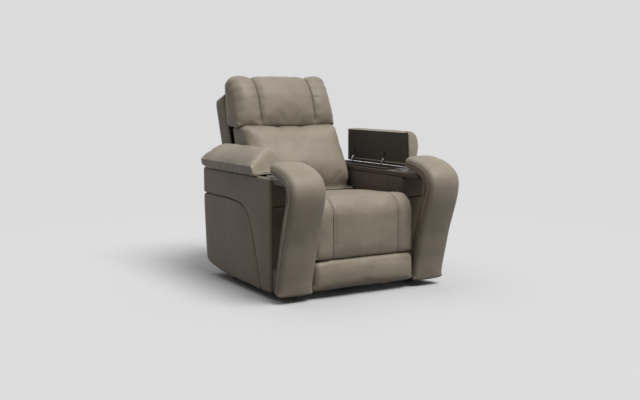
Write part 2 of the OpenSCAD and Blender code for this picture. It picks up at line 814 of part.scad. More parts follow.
module head_cushion() {
  loop = backwards(head_outline());
  n = len(loop);
  color(leather_tone)
    difference() {
      cushion(loop, [for (i = [0:n - 1]) i >= n / 2 ? sin(180 * (i - n / 2 + 1) / (n / 2 + 1)) : 0],
        -head_half, head_half, channel_shares(head_channel_x, channel_w, head_half), head_soft,
        head_crown, head_channel_x, channel_d);
      both()
        block(knuckle_x - post_w - fit, knuckle_x + post_w + fit, head_axis[0] - head_knuckle_r - fit * 3,
          head_axis[0] + post_w * 2 + fit, head_low - post_w / 2, head_low + head_board_t * 0.6 + fit);
    }
}

// Arm boxes, drawn for the right
function on_arm(s) = [arm_y0 + s[0] * arm_d, s[1] * arm_h];
function rear_edge() = [for (s = rear_shares) [arm_y1 - s[0] * rear_lean, s[1] * arm_h]];
module arm_frame(left) {
  top = arm_under - fit;
  color(wood_tone)
    hand(left) {
      difference() {
        block(inner_board, inner_board + board_t, front_board, rear_board + board_t, frame_low, top);
        if (left)
          switch_hole();
      }
      block(outer_board, outer_board + board_t, front_board, rear_board + board_t, frame_low, top);
      for (y = [front_board, rear_board])
        block(inner_board + board_t + fit, outer_board - fit, y, y + board_t, frame_low, top);
      block(inner_board + board_t + fit, outer_board - fit, front_board + board_t + fit,
        rear_board - fit, frame_low, frame_low + board_t);
      block(inner_board + board_t + fit, outer_board - fit, bin_y0 - bin_t, bin_y1 + bin_t,
        arm_under - bin_h - board_t - fit * 2, arm_under - bin_h - fit * 2);
      side_prism([[arm_y0 - fit, toe_low], [arm_y0 - toe_deep, toe_low],
        [arm_y0 - toe_high, toe_low + toe_high * 0.8], [arm_y0 - fit, toe_rise]],
        arm_in + toe_inset, arm_out - toe_inset);
    }
}
module arm_band(left) {
  edge = [for (s = groove_shares) on_arm(s)];
  color(leather_tone)
    hand(left)
      side_prism(concat(edge, [[arm_y0, arm_gap], [arm_y0, arm_under - fit], [arm_y1, arm_under - fit]]),
        arm_out - skin_t, arm_out);
}
module arm_side_panel(left) {
  edge = [for (s = groove_shares) on_arm(s) + [s[0] < 0.5 ? groove_w : 0, s[0] < 0.5 ? -groove_w / 2
    : -groove_w]];
  hem = [for (s = hem_shares) on_arm(s)];
  color(shade_tone)
    hand(left)
      side_prism(concat(edge, hem, rear_edge()), arm_out - skin_t, arm_out - panel_inset);
}
module switch_hole() {
  block(-arm_in - over, switch_box_t * 2 + arm_in, switch_y - switch_l / 2 + switch_wall * 3,
    switch_y + switch_l / 2 - switch_wall * 3, switch_z - switch_h / 2 + switch_wall * 3,
    switch_z + switch_h / 2 - switch_wall * 3);
}
module arm_inner_panel(left) {
  color(shade_tone)
    hand(left)
      difference() {
        side_prism(concat([[arm_y0, arm_gap], [arm_y1 - rear_lean - skin_t - fit, arm_gap]],
          [for (p = concat(rear_edge(), [[arm_y1, arm_under - fit]])) p - [skin_t + fit, 0]],
          [[arm_y0, arm_under - fit]]), arm_in, arm_in + skin_t);
        if (left)
          switch_hole();
      }
}
module arm_front_panel(left) {
  seam = groove_shares[0][1] * arm_h;
  color(shade_tone)
    hand(left) {
      block(arm_in + skin_t + fit, arm_out - skin_t - fit, arm_y0, arm_y0 + skin_t,
        seam + groove_w, arm_under - fit);
      block(arm_in + skin_t + fit, arm_out - skin_t - fit, arm_y0, arm_y0 + skin_t,
        arm_gap, seam);
    }
}
module arm_rear_panel(left) {
  outer = concat([[arm_y1, arm_under - fit]], backwards(rear_edge()));
  inner = [for (p = backwards(outer)) p - [skin_t, 0]];
  color(shade_tone)
    hand(left)
      side_prism(concat(outer, inner), arm_in, arm_out - skin_t - fit);
}
module arm_top(left) {
  shelf = pad_curve(-0.5, fit);
  n = len(shelf);
  color(leather_tone)
    hand(left)
      difference() {
        union() {
          translate([0, arm_y1, 0])
            rotate([90, 0, 0])
              linear_extrude(arm_d)
                union() {
                  translate([arm_in, arm_under])
                    square([arm_w, top_t - top_r]);
                  translate([arm_in + top_r, arm_under])
                    square([arm_w - top_r * 2, top_t]);
                  translate([arm_in + top_r, arm_h - top_r])
                    circle(top_r);
                  translate([arm_out - top_r, arm_h - top_r])
                    circle(top_r);
                }
          side_prism(concat([[arm_y0 + over, arm_under], [arm_y0 + over, arm_h]],
            backwards([for (p = shelf) if (p[1] > arm_under && p[1] < arm_h && p[0] > arm_y0 - pad_reach)
              p])), arm_in, arm_out);
        }
        block(bin_x0, bin_x0 + bin_w, bin_y0, bin_y1, arm_under - over, arm_h + over);
        translate([arm_mid, cup_y, arm_under - over])
          cylinder(r = cup_r + cup_t + fit, h = top_t + over * 2);
      }
}

// Curved front pad: its middle line, and a curve at a share of its thickness from it
function pad_line() = smooth([for (s = pad_shares)
  [arm_y0 - s[0] * pad_reach, s[1] * arm_h, s[2] * pad_t]], pad_steps);
function pad_curve(share, more) = let (p = pad_line(), n = len(p)) [for (i = [0:n - 1]) let (
    a = p[max(i - 1, 0)],
    b = p[min(i + 1, n - 1)],
    d = unit([b[0] - a[0], b[1] - a[1]]))
  [p[i][0], p[i][1]] + [-d[1], d[0]] * (p[i][2] * share + (share < 0 ? -more : more))];
// A curve in front of the pad's rear face by a distance
function pad_rear(off) = let (p = pad_line(), n = len(p)) [for (i = [0:n - 1]) let (
    a = p[max(i - 1, 0)],
    b = p[min(i + 1, n - 1)],
    d = unit([b[0] - a[0], b[1] - a[1]]))
  [p[i][0], p[i][1]] + [-d[1], d[0]] * (off - p[i][2] / 2)];
module pad_board(left) {
  color(wood_tone)
    hand(left)
      side_prism(concat(pad_rear(pad_board_t), backwards(pad_rear(0))), pad_in + over, pad_out - over);
}
module arm_pad(left) {
  loop = concat(backwards(pad_curve(0.5, 0)), pad_rear(pad_board_t + fit));
  n = len(loop);
  color(leather_tone)
    hand(left)
      cushion(loop, [for (i = [0:n - 1]) i < n / 2 ? 1 : 0], pad_in, pad_out, pad_width_shares,
        fit * 20, pad_crown, 0, 0);
}

// Storage
module bin(left) {
  low = arm_under - bin_h - fit;
  color(dark_tone)
    hand(left)
      difference() {
        block(bin_x0 - bin_t, bin_x0 + bin_w + bin_t, bin_y0 - bin_t, bin_y1 + bin_t, low,
          arm_under - fit);
        block(bin_x0, bin_x0 + bin_w, bin_y0, bin_y1, low + bin_t, arm_under + over);
      }
}
module cup_holder(left) {
  z = arm_h + fit;
  color(steel_tone)
    hand(left)
      translate([arm_mid, cup_y, 0])
        difference() {
          union() {
            translate([0, 0, z])
              cylinder(r = cup_flange_r, h = cup_flange_t);
            translate([0, 0, z - cup_h])
              cylinder(r = cup_r + cup_t, h = cup_h);
          }
          translate([0, 0, z - cup_h + cup_t])
            cylinder(r = cup_r, h = cup_h + cup_flange_t);
        }
}
// The axis of a lid's hinge, along y
module knuckle(y0, y1, r) {
  translate([lid_axis_x, y1, lid_axis_z])
    rotate([90, 0, 0])
      cylinder(r = r, h = y1 - y0);
}
// Places the right lid's own pieces, which stand open at rest
module opened(left) {
  if (left)
    mirror([1, 0, 0])
      children();
  else
    translate([lid_axis_x, 0, lid_axis_z])
      rotate([0, 90, 0])
        translate([-lid_axis_x, 0, -lid_axis_z])
          children();
}
// A prism of an outline drawn across, from y0 to y1
module cross_prism(points, y0, y1) {
  translate([0, y1, 0])
    rotate([90, 0, 0])
      linear_extrude(y1 - y0)
        polygon(points);
}
// One side of a band of the given half thickness along a line
function beside(p, off) = let (n = len(p)) [for (i = [0:n - 1]) let (
    d = unit(p[min(i + 1, n - 1)] - p[max(i - 1, 0)]))
  p[i] + [-d[1], d[0]] * off];
function strap_line() = smooth([for (s = strap_points) [lid_axis_x - s[0], arm_h + s[1]]], 3);
module lid_hinges(left) {
  line = strap_line();
  color(steel_tone)
    hand(left)
      for (y = hinge_ys)
        difference() {
          union() {
            knuckle(y - strap_half, y + strap_half, knuckle_r);
            cross_prism(concat(beside(line, strap_t / 2), backwards(beside(line, -strap_t / 2))),
              y - strap_half, y + strap_half);
            block(lid_axis_x - strap_points[0][0] - foot_l / 2, lid_axis_x - strap_points[0][0] + foot_l / 2,
              y - strap_half, y + strap_half, arm_h + fit / 2, arm_h + fit / 2 + foot_t);
          }
          knuckle(y - strap_half - over, y + strap_half + over, hinge_pin_r + play);
        }
}
module lid_leaves(left) {
  low = lid_under + lid_board_t + fit;
  side = strap_half + leaf_t / 2;
  color(steel_tone)
    opened(left)
      for (y = hinge_ys) {
        knuckle(y - side - leaf_t, y + side + leaf_t, hinge_pin_r);
        for (s = [-1, 1])
          block(lid_axis_x - leaf_l, lid_axis_x + knuckle_r, y + s * (side + leaf_t / 2) - leaf_t / 2,
            y + s * (side + leaf_t / 2) + leaf_t / 2, low, lid_axis_z + knuckle_r);
      }
}
board_rim = 8;
board_in = lid_in + board_rim;
board_out = lid_axis_x + knuckle_r;
board_y0 = lid_y0 + board_rim;
board_length_share = 0.91;
board_y1 = lid_y0 + lid_l * board_length_share;
// Room in the lid for the bent straps and their leaves
module lid_slots(wide) {
  for (y = hinge_ys)
    block(lid_axis_x - slot_in, lid_axis_x + knuckle_r + fit, y - wide, y + wide, lid_under - over * 4,
      lid_axis_z + slot_high);
}
module lid_board(left) {
  color(dark_tone)
    opened(left)
      difference() {
        block(board_in, board_out, board_y0, board_y1, lid_under, lid_under + lid_board_t);
        lid_slots(strap_half + slot_gap);
      }
}
// Lid pad: sections across, along its length; shares of the width and height, outer side first
lid_shares = [
  [0.955, 0.025], [0.988, 0.08], [1, 0.17], [0.985, 0.31], [0.91, 0.46], [0.77, 0.66], [0.6, 0.84],
  [0.42, 0.97], [0.25, 1], [0.1, 0.92], [0.015, 0.72], [0, 0.4]
];
lid_low_shares = [0.005, 0.03, 0.12, 0.22, 0.32, 0.42, 0.52, 0.62, 0.72, 0.82, 0.88, 0.915];
// Along the lid: share of its length, share of its height, share of its width drawn in,
// share of its height that its underside rises
lid_run_shares = [
  [0, 0.13, 0.05, 0], [0.006, 0.28, 0.025, 0], [0.025, 0.42, 0.012, 0], [0.055, 0.6, 0.005, 0],
  [0.085, 0.76, 0, 0], [0.115, 0.88, 0, 0], [0.15, 0.95, 0, 0], [0.25, 0.99, 0, 0], [0.45, 1, 0, 0],
  [0.7, 0.98, 0, 0], [0.85, 0.93, 0, 0], [0.92, 0.84, 0.01, 0], [0.96, 0.72, 0.02, 0.06],
  [0.985, 0.56, 0.04, 0.13], [1, 0.34, 0.07, 0.24]
];
module lid_pad(left) {
  wide = lid_out - lid_in;
  color(leather_tone)
    opened(left)
      difference() {
        skin([for (r = lid_run_shares) let (
            y = lid_y0 + r[0] * lid_l,
            rise = r[1] - r[3],
            top = [for (s = lid_shares) [lid_in + wide * (r[2] + s[0] * (1 - 2 * r[2])), y,
              lid_under + (r[3] + s[1] * rise) * lid_h]],
            low = [for (s = lid_low_shares) [lid_in + wide * (r[2] + s * (1 - 2 * r[2])), y,
              lid_under + r[3] * lid_h]])
          backwards(concat(top, low))]);
        block(board_in - fit, board_out + fit, board_y0 - fit, board_y1 + fit, lid_under - over,
          lid_under + lid_board_t + fit);
        lid_slots(strap_half + leaf_t * 1.5 + slot_gap);
      }
}

// Switch plate and buttons on the left arm's inner side
module switch_plate() {
  x = -arm_in;
  well = button_w + button_play * 2;
  color(dark_tone)
    difference() {
      union() {
        block(x + fit, x + fit + switch_t, switch_y - switch_l / 2, switch_y + switch_l / 2,
          switch_z - switch_h / 2, switch_z + switch_h / 2);
        block(x - switch_box_t, x + fit + over, switch_y - switch_l / 2 + switch_wall * 4,
          switch_y + switch_l / 2 - switch_wall * 4, switch_z - switch_h / 2 + switch_wall * 4,
          switch_z + switch_h / 2 - switch_wall * 4);
      }
      for (y = button_ys)
        block(x - switch_box_t + switch_wall, x + fit + switch_t + over, switch_y + y - well / 2,
          switch_y + y + well / 2, switch_z - well / 2, switch_z + well / 2);
    }
}
module button(i) {
  x = -arm_in + fit + switch_t + button_proud;
  y = switch_y + button_ys[i];
  color(steel_tone) {
    block(x - button_proud - stem_r, x, y - button_w / 2, y + button_w / 2, switch_z - button_w / 2,
      switch_z + button_w / 2);
    translate([x - button_proud - stem_r - stem_l, y, switch_z])
      rotate([0, 90, 0])
        cylinder(r = stem_r, h = stem_l + over);
  }
}

base_rails();
cross_tubes();
glides();
seat_posts();
seat_frame();
seat_webbing();
seat_cushion();
control_box();
drive_brackets();
drive_tube();
foot_links();
foot_actuator();
foot_shuttle();
footrest_arms();
footrest_board();
leg_pad();
foot_pad();
arm_frame(true);  // arm_frame_left
arm_band(true);  // arm_band_left
arm_side_panel(true);  // arm_side_panel_left
arm_inner_panel(true);  // arm_inner_panel_left
arm_front_panel(true);  // arm_front_panel_left
arm_rear_panel(true);  // arm_rear_panel_left
arm_top(true);  // arm_top_left
pad_board(true);  // pad_board_left
arm_pad(true);  // arm_pad_left
bin(true);  // bin_left
cup_holder(true);  // cup_holder_left
lid_hinges(true);  // lid_hinges_left
lid_leaves(true);  // lid_leaves_left
lid_board(true);  // lid_board_left
lid_pad(true);  // lid_pad_left
arm_frame(false);  // arm_frame_right
arm_band(false);  // arm_band_right
arm_side_panel(false);  // arm_side_panel_right
arm_inner_panel(false);  // arm_inner_panel_right
arm_front_panel(false);  // arm_front_panel_right
arm_rear_panel(false);  // arm_rear_panel_right
arm_top(false);  // arm_top_right
pad_board(false);  // pad_board_right
arm_pad(false);  // arm_pad_right
bin(false);  // bin_right
cup_holder(false);  // cup_holder_right
lid_hinges(false);  // lid_hinges_right
lid_leaves(false);  // lid_leaves_right
lid_board(false);  // lid_board_right
lid_pad(false);  // lid_pad_right
back_actuator();
back_shuttle();
back_frame();
back_shell();
back_cushion();
head_hinge();
head_board();
head_cushion();
switch_plate();
button(0);  // button_back_up
button(1);  // button_back_down
button(2);  // button_leg_out
button(3);  // button_leg_in
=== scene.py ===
import json
import math
import bmesh
import bpy
import numpy as np
from mathutils import Matrix, Vector, noise
from mathutils.bvhtree import BVHTree
from mathutils.geometry import delaunay_2d_cdt


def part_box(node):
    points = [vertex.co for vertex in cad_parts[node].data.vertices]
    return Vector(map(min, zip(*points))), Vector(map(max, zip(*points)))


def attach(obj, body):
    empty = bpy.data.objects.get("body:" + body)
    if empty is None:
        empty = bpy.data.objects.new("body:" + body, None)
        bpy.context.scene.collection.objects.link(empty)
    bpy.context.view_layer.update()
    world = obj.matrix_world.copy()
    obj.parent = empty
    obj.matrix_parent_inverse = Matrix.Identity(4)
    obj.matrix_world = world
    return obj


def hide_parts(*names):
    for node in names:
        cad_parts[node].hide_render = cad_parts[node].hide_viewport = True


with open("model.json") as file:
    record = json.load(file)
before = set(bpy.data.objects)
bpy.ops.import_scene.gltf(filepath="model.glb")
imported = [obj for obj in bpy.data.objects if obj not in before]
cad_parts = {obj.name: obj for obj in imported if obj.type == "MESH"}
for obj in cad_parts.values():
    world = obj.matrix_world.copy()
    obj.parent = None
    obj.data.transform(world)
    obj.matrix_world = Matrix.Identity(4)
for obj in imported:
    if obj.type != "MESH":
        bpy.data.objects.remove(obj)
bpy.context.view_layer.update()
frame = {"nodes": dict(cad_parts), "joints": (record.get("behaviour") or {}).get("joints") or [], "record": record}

nodes = frame["nodes"]
joints = {j["name"]: j for j in frame["joints"]}
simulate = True
sides = {"left": -1, "right": 1}


# Small helpers for curves and outlines, all in metres

def smoothStep(a, b, v):
    t = min(max((v - a) / (b - a), 0.0), 1.0)
    return t * t * (3 - 2 * t)


def curveThrough(points, step, closed=False):
    # even steps along a smooth curve through the points
    p = np.array(points, float)
    n = len(p)
    runs = n if closed else n - 1
    dense = []
    for i in range(runs):
        a = p[(i - 1) % n] if closed else p[max(i - 1, 0)]
        b, c = p[i], p[(i + 1) % n]
        d = p[(i + 2) % n] if closed else p[min(i + 2, n - 1)]
        for t in np.linspace(0, 1, 12, endpoint=False):
            dense.append(0.5 * (2 * b + (c - a) * t + (2 * a - 5 * b + 4 * c - d) * t ** 2
                                + (3 * b - a - 3 * c + d) * t ** 3))
    dense.append(p[0] if closed else p[-1])
    return evenSteps(np.array(dense), step)


def runAlong(line):
    return np.concatenate([[0], np.cumsum(np.linalg.norm(np.diff(line, axis=0), axis=1))])


def placedAt(line, run, at):
    return np.stack([np.interp(at, run, line[:, k]) for k in range(line.shape[1])], axis=1)


def evenSteps(line, step):
    run = runAlong(line)
    count = max(2, int(round(run[-1] / step)) + 1)
    return placedAt(line, run, np.linspace(0, run[-1], count))


def turnAngles(loop):
    before = loop - np.roll(loop, 1, axis=0)
    after = np.roll(loop, -1, axis=0) - loop
    cross = before[:, 0] * after[:, 1] - before[:, 1] * after[:, 0]
    dot = (before * after).sum(axis=1)
    return np.degrees(np.arctan2(cross, dot))


def softLoop(loop, step, corner=48, rounds=2):
    # a closed outline with smooth runs between its corners, then the corners eased a little
    loop = np.array(loop, float)
    marks = [i for i, a in enumerate(turnAngles(loop)) if abs(a) > corner]
    if not marks:
        line = curveThrough(loop, step, closed=True)[:-1]
    else:
        pieces = []
        for a, b in zip(marks, marks[1:] + [marks[0] + len(loop)]):
            run = [loop[i % len(loop)] for i in range(a, b + 1)]
            pieces.append(curveThrough(run, step)[:-1])
        line = np.concatenate(pieces)
    line = ringOf(line, len(line) + len(line) % 2)
    for _ in range(rounds):
        line = eased(line)
    return line


def ringOf(loop, count):
    # the same closed outline with a given count of even steps
    line = np.concatenate([loop, loop[:1]])
    run = runAlong(line)
    return placedAt(line, run, np.linspace(0, run[-1], count, endpoint=False))


def eased(values):
    return values * 0.5 + (np.roll(values, 1, axis=0) + np.roll(values, -1, axis=0)) * 0.25


def outwardOf(loop):
    along = np.roll(loop, -1, axis=0) - np.roll(loop, 1, axis=0)
    along /= np.maximum(np.linalg.norm(along, axis=1), 1e-9)[:, None]
    return np.stack([along[:, 1], -along[:, 0]], axis=1)


def turnedOut(loop):
    # a side outline that runs counter-clockwise
    loop = np.array(loop)
    return loop[::-1] if loopArea(loop) < 0 else loop


def swollen(loop, amount):
    # a side outline grown outwards, by an amount that depends on the place and the way it faces
    loop = turnedOut(loop)
    outward = outwardOf(loop)
    by = np.array([amount(p, o) for p, o in zip(loop, outward)])
    for _ in range(2):
        by = eased(by)
    return loop + outward * by[:, None]


def shrunk(loop, by):
    return loop - outwardOf(loop) * by


def loopArea(loop):
    x, y = loop[:, 0], loop[:, 1]
    return 0.5 * float((x * np.roll(y, -1) - y * np.roll(x, -1)).sum())


def spotsOf(mesh):
    return np.array([v.co[:] for v in mesh.vertices])


def trianglesOf(nodeName):
    # the corners of each triangle of a CAD solid
    mesh = nodes[nodeName].data
    mesh.calc_loop_triangles()
    points = spotsOf(mesh)
    return [points[list(t.vertices)] for t in mesh.loop_triangles]


def rectangle(x0, y0, x1, y1):
    return [(x0, y0), (x1, y0), (x1, y1), (x0, y1)]


def chained(segments, digits=6):
    # joins loose segments into closed loops, the longest first
    links = {}
    for a, b in segments:
        ka = tuple(np.round(a, digits))
        kb = tuple(np.round(b, digits))
        if ka != kb:
            links.setdefault(ka, []).append(kb)
            links.setdefault(kb, []).append(ka)
    loops = []
    while links:
        start = next(iter(links))
        loop = [start]
        here = start
        while links.get(here):
            there = links[here].pop()
            links[there].remove(here)
            loop.append(there)
            here = there
        for k in loop:
            if not links.get(k):
                links.pop(k, None)
        if len(loop) > 3:
            loops.append(np.array(loop[:-1]))
    return sorted(loops, key=lambda l: -abs(loopArea(l)))


def cutLoop(nodeName, axis, at):
    # outline of a CAD solid where a plane crosses it
    keep = [i for i in range(3) if i != axis]
    segments = []
    for p in trianglesOf(nodeName):
        d = p[:, axis] - at
        hits = []
        for i, j in ((0, 1), (1, 2), (2, 0)):
            if (d[i] > 0) != (d[j] > 0):
                hits.append((p[i] + (p[j] - p[i]) * d[i] / (d[i] - d[j]))[keep])
        if len(hits) == 2:
            segments.append(hits)
    return chained(segments)[0]


def faceLoops(nodeName, axis, at):
    # outlines of the flat face of a CAD solid that lies in one plane
    keep = [i for i in range(3) if i != axis]
    edges = {}
    for p in trianglesOf(nodeName):
        if abs(p[:, axis] - at).max() < 1e-5:
            for i, j in ((0, 1), (1, 2), (2, 0)):
                key = frozenset((tuple(np.round(p[i][keep], 6)), tuple(np.round(p[j][keep], 6))))
                edges[key] = edges.get(key, 0) + 1
    return chained([tuple(k) for k, count in edges.items() if count == 1 and len(k) == 2])


# Mesh makers

def smoothed(mesh):
    mesh.polygons.foreach_set("use_smooth", [True] * len(mesh.polygons))
    mesh.update()


def newPiece(name, points, faces, material):
    mesh = bpy.data.meshes.new(name)
    mesh.from_pydata([tuple(p) for p in points], [], faces)
    mesh.validate()
    built = bmesh.new()
    built.from_mesh(mesh)
    bmesh.ops.remove_doubles(built, verts=built.verts, dist=1e-6)
    bmesh.ops.recalc_face_normals(built, faces=built.faces)
    built.to_mesh(mesh)
    built.free()
    piece = bpy.data.objects.new(name, mesh)
    bpy.context.scene.collection.objects.link(piece)
    mesh.materials.append(material)
    smoothed(mesh)
    return piece


def setAll(target, **values):
    for key, value in values.items():
        setattr(target, key, value)


def tubeFaces(n, rows, first=0):
    # quads between closed rings of n points that follow each other
    starts = range(first, first + (rows - 1) * n, n)
    return [(a + i, a + (i + 1) % n, a + n + (i + 1) % n, a + n + i) for a in starts for i in range(n)]


def modified(piece, kind, **values):
    m = piece.modifiers.new(kind.lower(), kind)
    setAll(m, **values)
    return m


def baked(piece):
    # the piece's modifiers, applied to its mesh
    graph = bpy.context.evaluated_depsgraph_get()
    mesh = bpy.data.meshes.new_from_object(piece.evaluated_get(graph))
    old = piece.data
    piece.modifiers.clear()
    piece.data = mesh
    bpy.data.meshes.remove(old)
    return piece


def stationsAcross(x0, x1, look):
    # places across a pad: closer at the rounded ends and beside each sewn channel
    mid, half = (x0 + x1) / 2, (x1 - x0) / 2
    soft = look["soft"]
    count = int((half - soft) / look["step"])
    places = [(half - soft) * i / count for i in range(count + 1)]
    places += [half - soft + soft * math.sin(math.radians(15 * i)) for i in range(1, 7)]
    every = {round(s * p, 6) for p in places for s in (-1, 1)}
    for at in look.get("channels", ()):
        near = look["channelWide"]
        every = {p for p in every if abs(p - at) > near * 0.9}
        for share in (-0.8, -0.6, -0.42, -0.27, -0.15, -0.06, 0, 0.06, 0.15, 0.27, 0.42, 0.6, 0.8):
            every.add(round(at + share * near, 6))
    return mid, half, sorted(every)


def sewnDepth(off, wide, deep):
    # a valley between two lobes that meet in a sharp seam
    q = max(0.0, 1 - abs(off) / wide)
    return deep * (1 - math.sqrt(max(0.0, 1 - q * q)))


endRings = {}  # where the front and the top of each swept pad end, for its welts


def sweptPad(name, loop, x0, x1, look, material):
    # closed pad: one side outline carried across, crowned, rounded at the ends, with channels
    loop = turnedOut(loop)
    loop = np.roll(loop, -look["startAt"](loop), axis=0)
    n = len(loop)
    outward = outwardOf(loop)
    front = np.array([smoothStep(0.05, 0.65, -o[0]) for o in outward])
    top = np.array([smoothStep(0.05, 0.65, o[1]) for o in outward])
    bottom = np.array([smoothStep(0.3, 0.9, -o[1]) for o in outward])
    crowned = np.maximum(front, top * look.get("topCrown", 1.0))
    sewn = np.maximum(front, top) * np.array([look["sewnAt"](p) if "sewnAt" in look else 1.0 for p in loop])
    rear = look.get("rearShare", 1.0)
    rounding = np.maximum(np.maximum(front, top * look.get("topShare", 1.0)), rear)
    rounding = rounding * (1 - bottom) + look.get("bottomShare", rear) * bottom
    if "softAt" in look:
        rounding = rounding * np.array([look["softAt"](p) for p in loop])
    for _ in range(3):
        crowned, sewn, rounding = eased(crowned), eased(sewn), eased(rounding)
    mid, half, places = stationsAcross(x0, x1, look)
    soft = look["soft"]
    points = []
    for x in places:
        t = max(0.0, (abs(x) - (half - soft)) / soft)
        endIn = soft * (1 - math.sqrt(max(0.0, 1 - min(t, 1) ** 2)))
        bow = look["crown"] * abs(x / half) ** look.get("bow", 2)
        valley = sum(sewnDepth(x - at, look["channelWide"], look["channelDeep"])
                     for at in look.get("channels", ()))
        ring = loop - outward * (endIn * rounding + bow * crowned + valley * sewn)[:, None]
        points += [(mid + x, p[0], p[1]) for p in ring]
    rows = len(places)
    faces = tubeFaces(n, rows)
    endRings[name] = [[points[row * n + k] for k in range(n) if max(front[k], top[k]) > 0.5]
                      for row in (0, rows - 1)]
    # each end is a gusset: rows from one half of the outline over to the other, a fan at both tips
    columns = look["columns"]
    for row, side in ((0, -1), (rows - 1, 1)):
        ids = [row * n + k for k in range(n)]
        lines = []
        for i in range(1, n // 2):
            a, b = np.array(points[ids[i]]), np.array(points[ids[n - i]])
            line = [ids[i]]
            for c in range(1, columns):
                t = c / columns
                puff = look.get("sidePuff", 0.0) * math.sin(math.pi * t) * math.sin(math.pi * i / (n // 2))
                points.append(tuple(a * (1 - t) + b * t + np.array([side * puff, 0, 0])))
                line.append(len(points) - 1)
            lines.append(line + [ids[n - i]])
        gusset = [(ids[0], lines[0][c], lines[0][c + 1]) for c in range(columns)]
        gusset += [(above[c], below[c], below[c + 1], above[c + 1])
                   for above, below in zip(lines, lines[1:]) for c in range(columns)]
        gusset += [(ids[n // 2], lines[-1][c + 1], lines[-1][c]) for c in range(columns)]
        faces += [g[::-1] if side > 0 else g for g in gusset]
    return newPiece(name, points, faces, material)


def puffed(piece, look, held):
    # cloth with a little spare length under light air pressure fills the cover out between its held seams
    if not simulate:
        return
    before = spotsOf(piece.data)
    group = piece.vertex_groups.new(name="held")
    for v in piece.data.vertices:
        weight = held(v.co, v.normal)
        if weight > 0:
            group.add([v.index], weight, "REPLACE")
    cloth = modified(piece, "CLOTH")
    setAll(cloth.settings, quality=5, mass=0.3, air_damping=3, tension_stiffness=15, compression_stiffness=15,
           shear_stiffness=5, bending_stiffness=look.get("bending", 0.5), shrink_min=-look["spare"],
           use_pressure=True, uniform_pressure_force=look.get("pressure", 4), vertex_group_mass="held")
    cloth.settings.effector_weights.gravity = 0
    setAll(cloth.collision_settings, use_collision=False, use_self_collision=False)
    frames = 20
    setAll(cloth.point_cache, frame_start=1, frame_end=frames)
    for f in range(1, frames + 1):
        bpy.context.scene.frame_set(f)
    baked(piece)
    bpy.context.scene.frame_set(1)
    move = spotsOf(piece.data) - before
    size = np.linalg.norm(move, axis=1)
    kept = look["cap"] * np.tanh(size / look["cap"])
    after = before + move * (kept / np.maximum(size, 1e-9))[:, None]
    piece.data.vertices.foreach_set("co", after.ravel())
    piece.vertex_groups.clear()
    smoothed(piece.data)
    print("  puffed", piece.name, "most", round(float(kept.max()) * 1000, 1), "mm")


def creased(piece, lines):
    # soft folds pressed into a pad: each is a line of points with a depth and a half width
    mesh = piece.data
    spots = spotsOf(mesh)
    normals = np.array([v.normal[:] for v in mesh.vertices])
    shift = np.zeros(len(spots))
    for line, deep, wide in lines:
        path = curveThrough(line, wide * 0.5)
        best = np.full(len(spots), 1e9)
        along = np.zeros(len(spots))
        for k, (a, b) in enumerate(zip(path, path[1:])):
            away, t = awayFrom(spots, a, b)
            closer = away < best
            best = np.where(closer, away, best)
            along = np.where(closer, (k + t) / (len(path) - 1), along)
        fade = np.sin(np.clip(along, 0.02, 0.98) * math.pi) ** 0.5
        # a valley with a low swell on each side of it
        q = best / wide
        shift += fade * deep * (np.exp(-q * q) - 0.35 * np.exp(-((q - 2.0) ** 2)))
    mesh.vertices.foreach_set("co", (spots - normals * shift[:, None]).ravel())
    mesh.update()


def ruffled(piece, tall, size, seed, where=None):
    # slow uneven swells of the filling, a little different on each pad
    mesh = piece.data
    for v in mesh.vertices:
        p = v.co / size + Vector((seed, seed * 2, 0))
        amount = tall * (noise.noise(p) + 0.4 * noise.noise(p * 2.3))
        v.co += v.normal * amount * (where(v.co) if where else 1.0)
    mesh.update()


def skinOf(piece):
    mesh = piece.data
    return BVHTree.FromPolygons([v.co for v in mesh.vertices], [p.vertices for p in mesh.polygons])


def onSurface(skin, line, lift):
    # points of a line, brought to the nearest place on a piece and lifted off it
    put, normals = [], []
    for p in line:
        place, normal, _, _ = skin.find_nearest(Vector(p))
        put.append(place + normal * lift)
        normals.append(normal)
    return put, normals


def stitched(name, piece, lines, look, material):
    # a row of short raised threads along each line on a piece
    points, faces = [], []
    skin = skinOf(piece)
    for line in lines:
        path = evenSteps(np.array(line, float), look["pitch"])
        put, normals = onSurface(skin, path, look["thread"] * 0.3)
        for a, b, up in zip(put, put[1:], normals):
            along = (b - a).normalized()
            start = a + along * look["pitch"] * look["gap"]
            end = b - along * look["pitch"] * look["gap"]
            side = along.cross(up).normalized() * look["thread"]
            high = up.normalized() * look["thread"]
            k = len(points)
            middle = (start + end) / 2
            points += [start, middle + side, middle + high, middle - side, middle - high, end]
            faces += [(k, k + m, k + m % 4 + 1) for m in (1, 2, 3, 4)]
            faces += [(k + 5, k + m % 4 + 1, k + m) for m in (1, 2, 3, 4)]
    return newPiece(name, points, faces, material)


def piped(name, lines, radius, material):
    # a welt: a thin round cord of leather along each line, closed at both ends
    ring = 8
    endShare = 0.55
    aside = Vector((0.123, 0.456, 0.881))  # no welt runs this way
    turns = [2 * math.pi * k / ring for k in range(ring)]
    points, faces = [], []
    for line in lines:
        first = len(points)
        last = first + (len(line) - 1) * ring
        for i, p in enumerate(line):
            along = (line[min(i + 1, len(line) - 1)] - line[max(i - 1, 0)]).normalized()
            side = along.cross(aside).normalized()
            other = along.cross(side)
            r = radius * (endShare if i in (0, len(line) - 1) else 1.0)
            points += [p + (side * math.cos(t) + other * math.sin(t)) * r for t in turns]
        faces += tubeFaces(ring, len(line), first)
        faces += [tuple(first + k for k in reversed(range(ring))), tuple(last + k for k in range(ring))]
    return newPiece(name, points, faces, material)


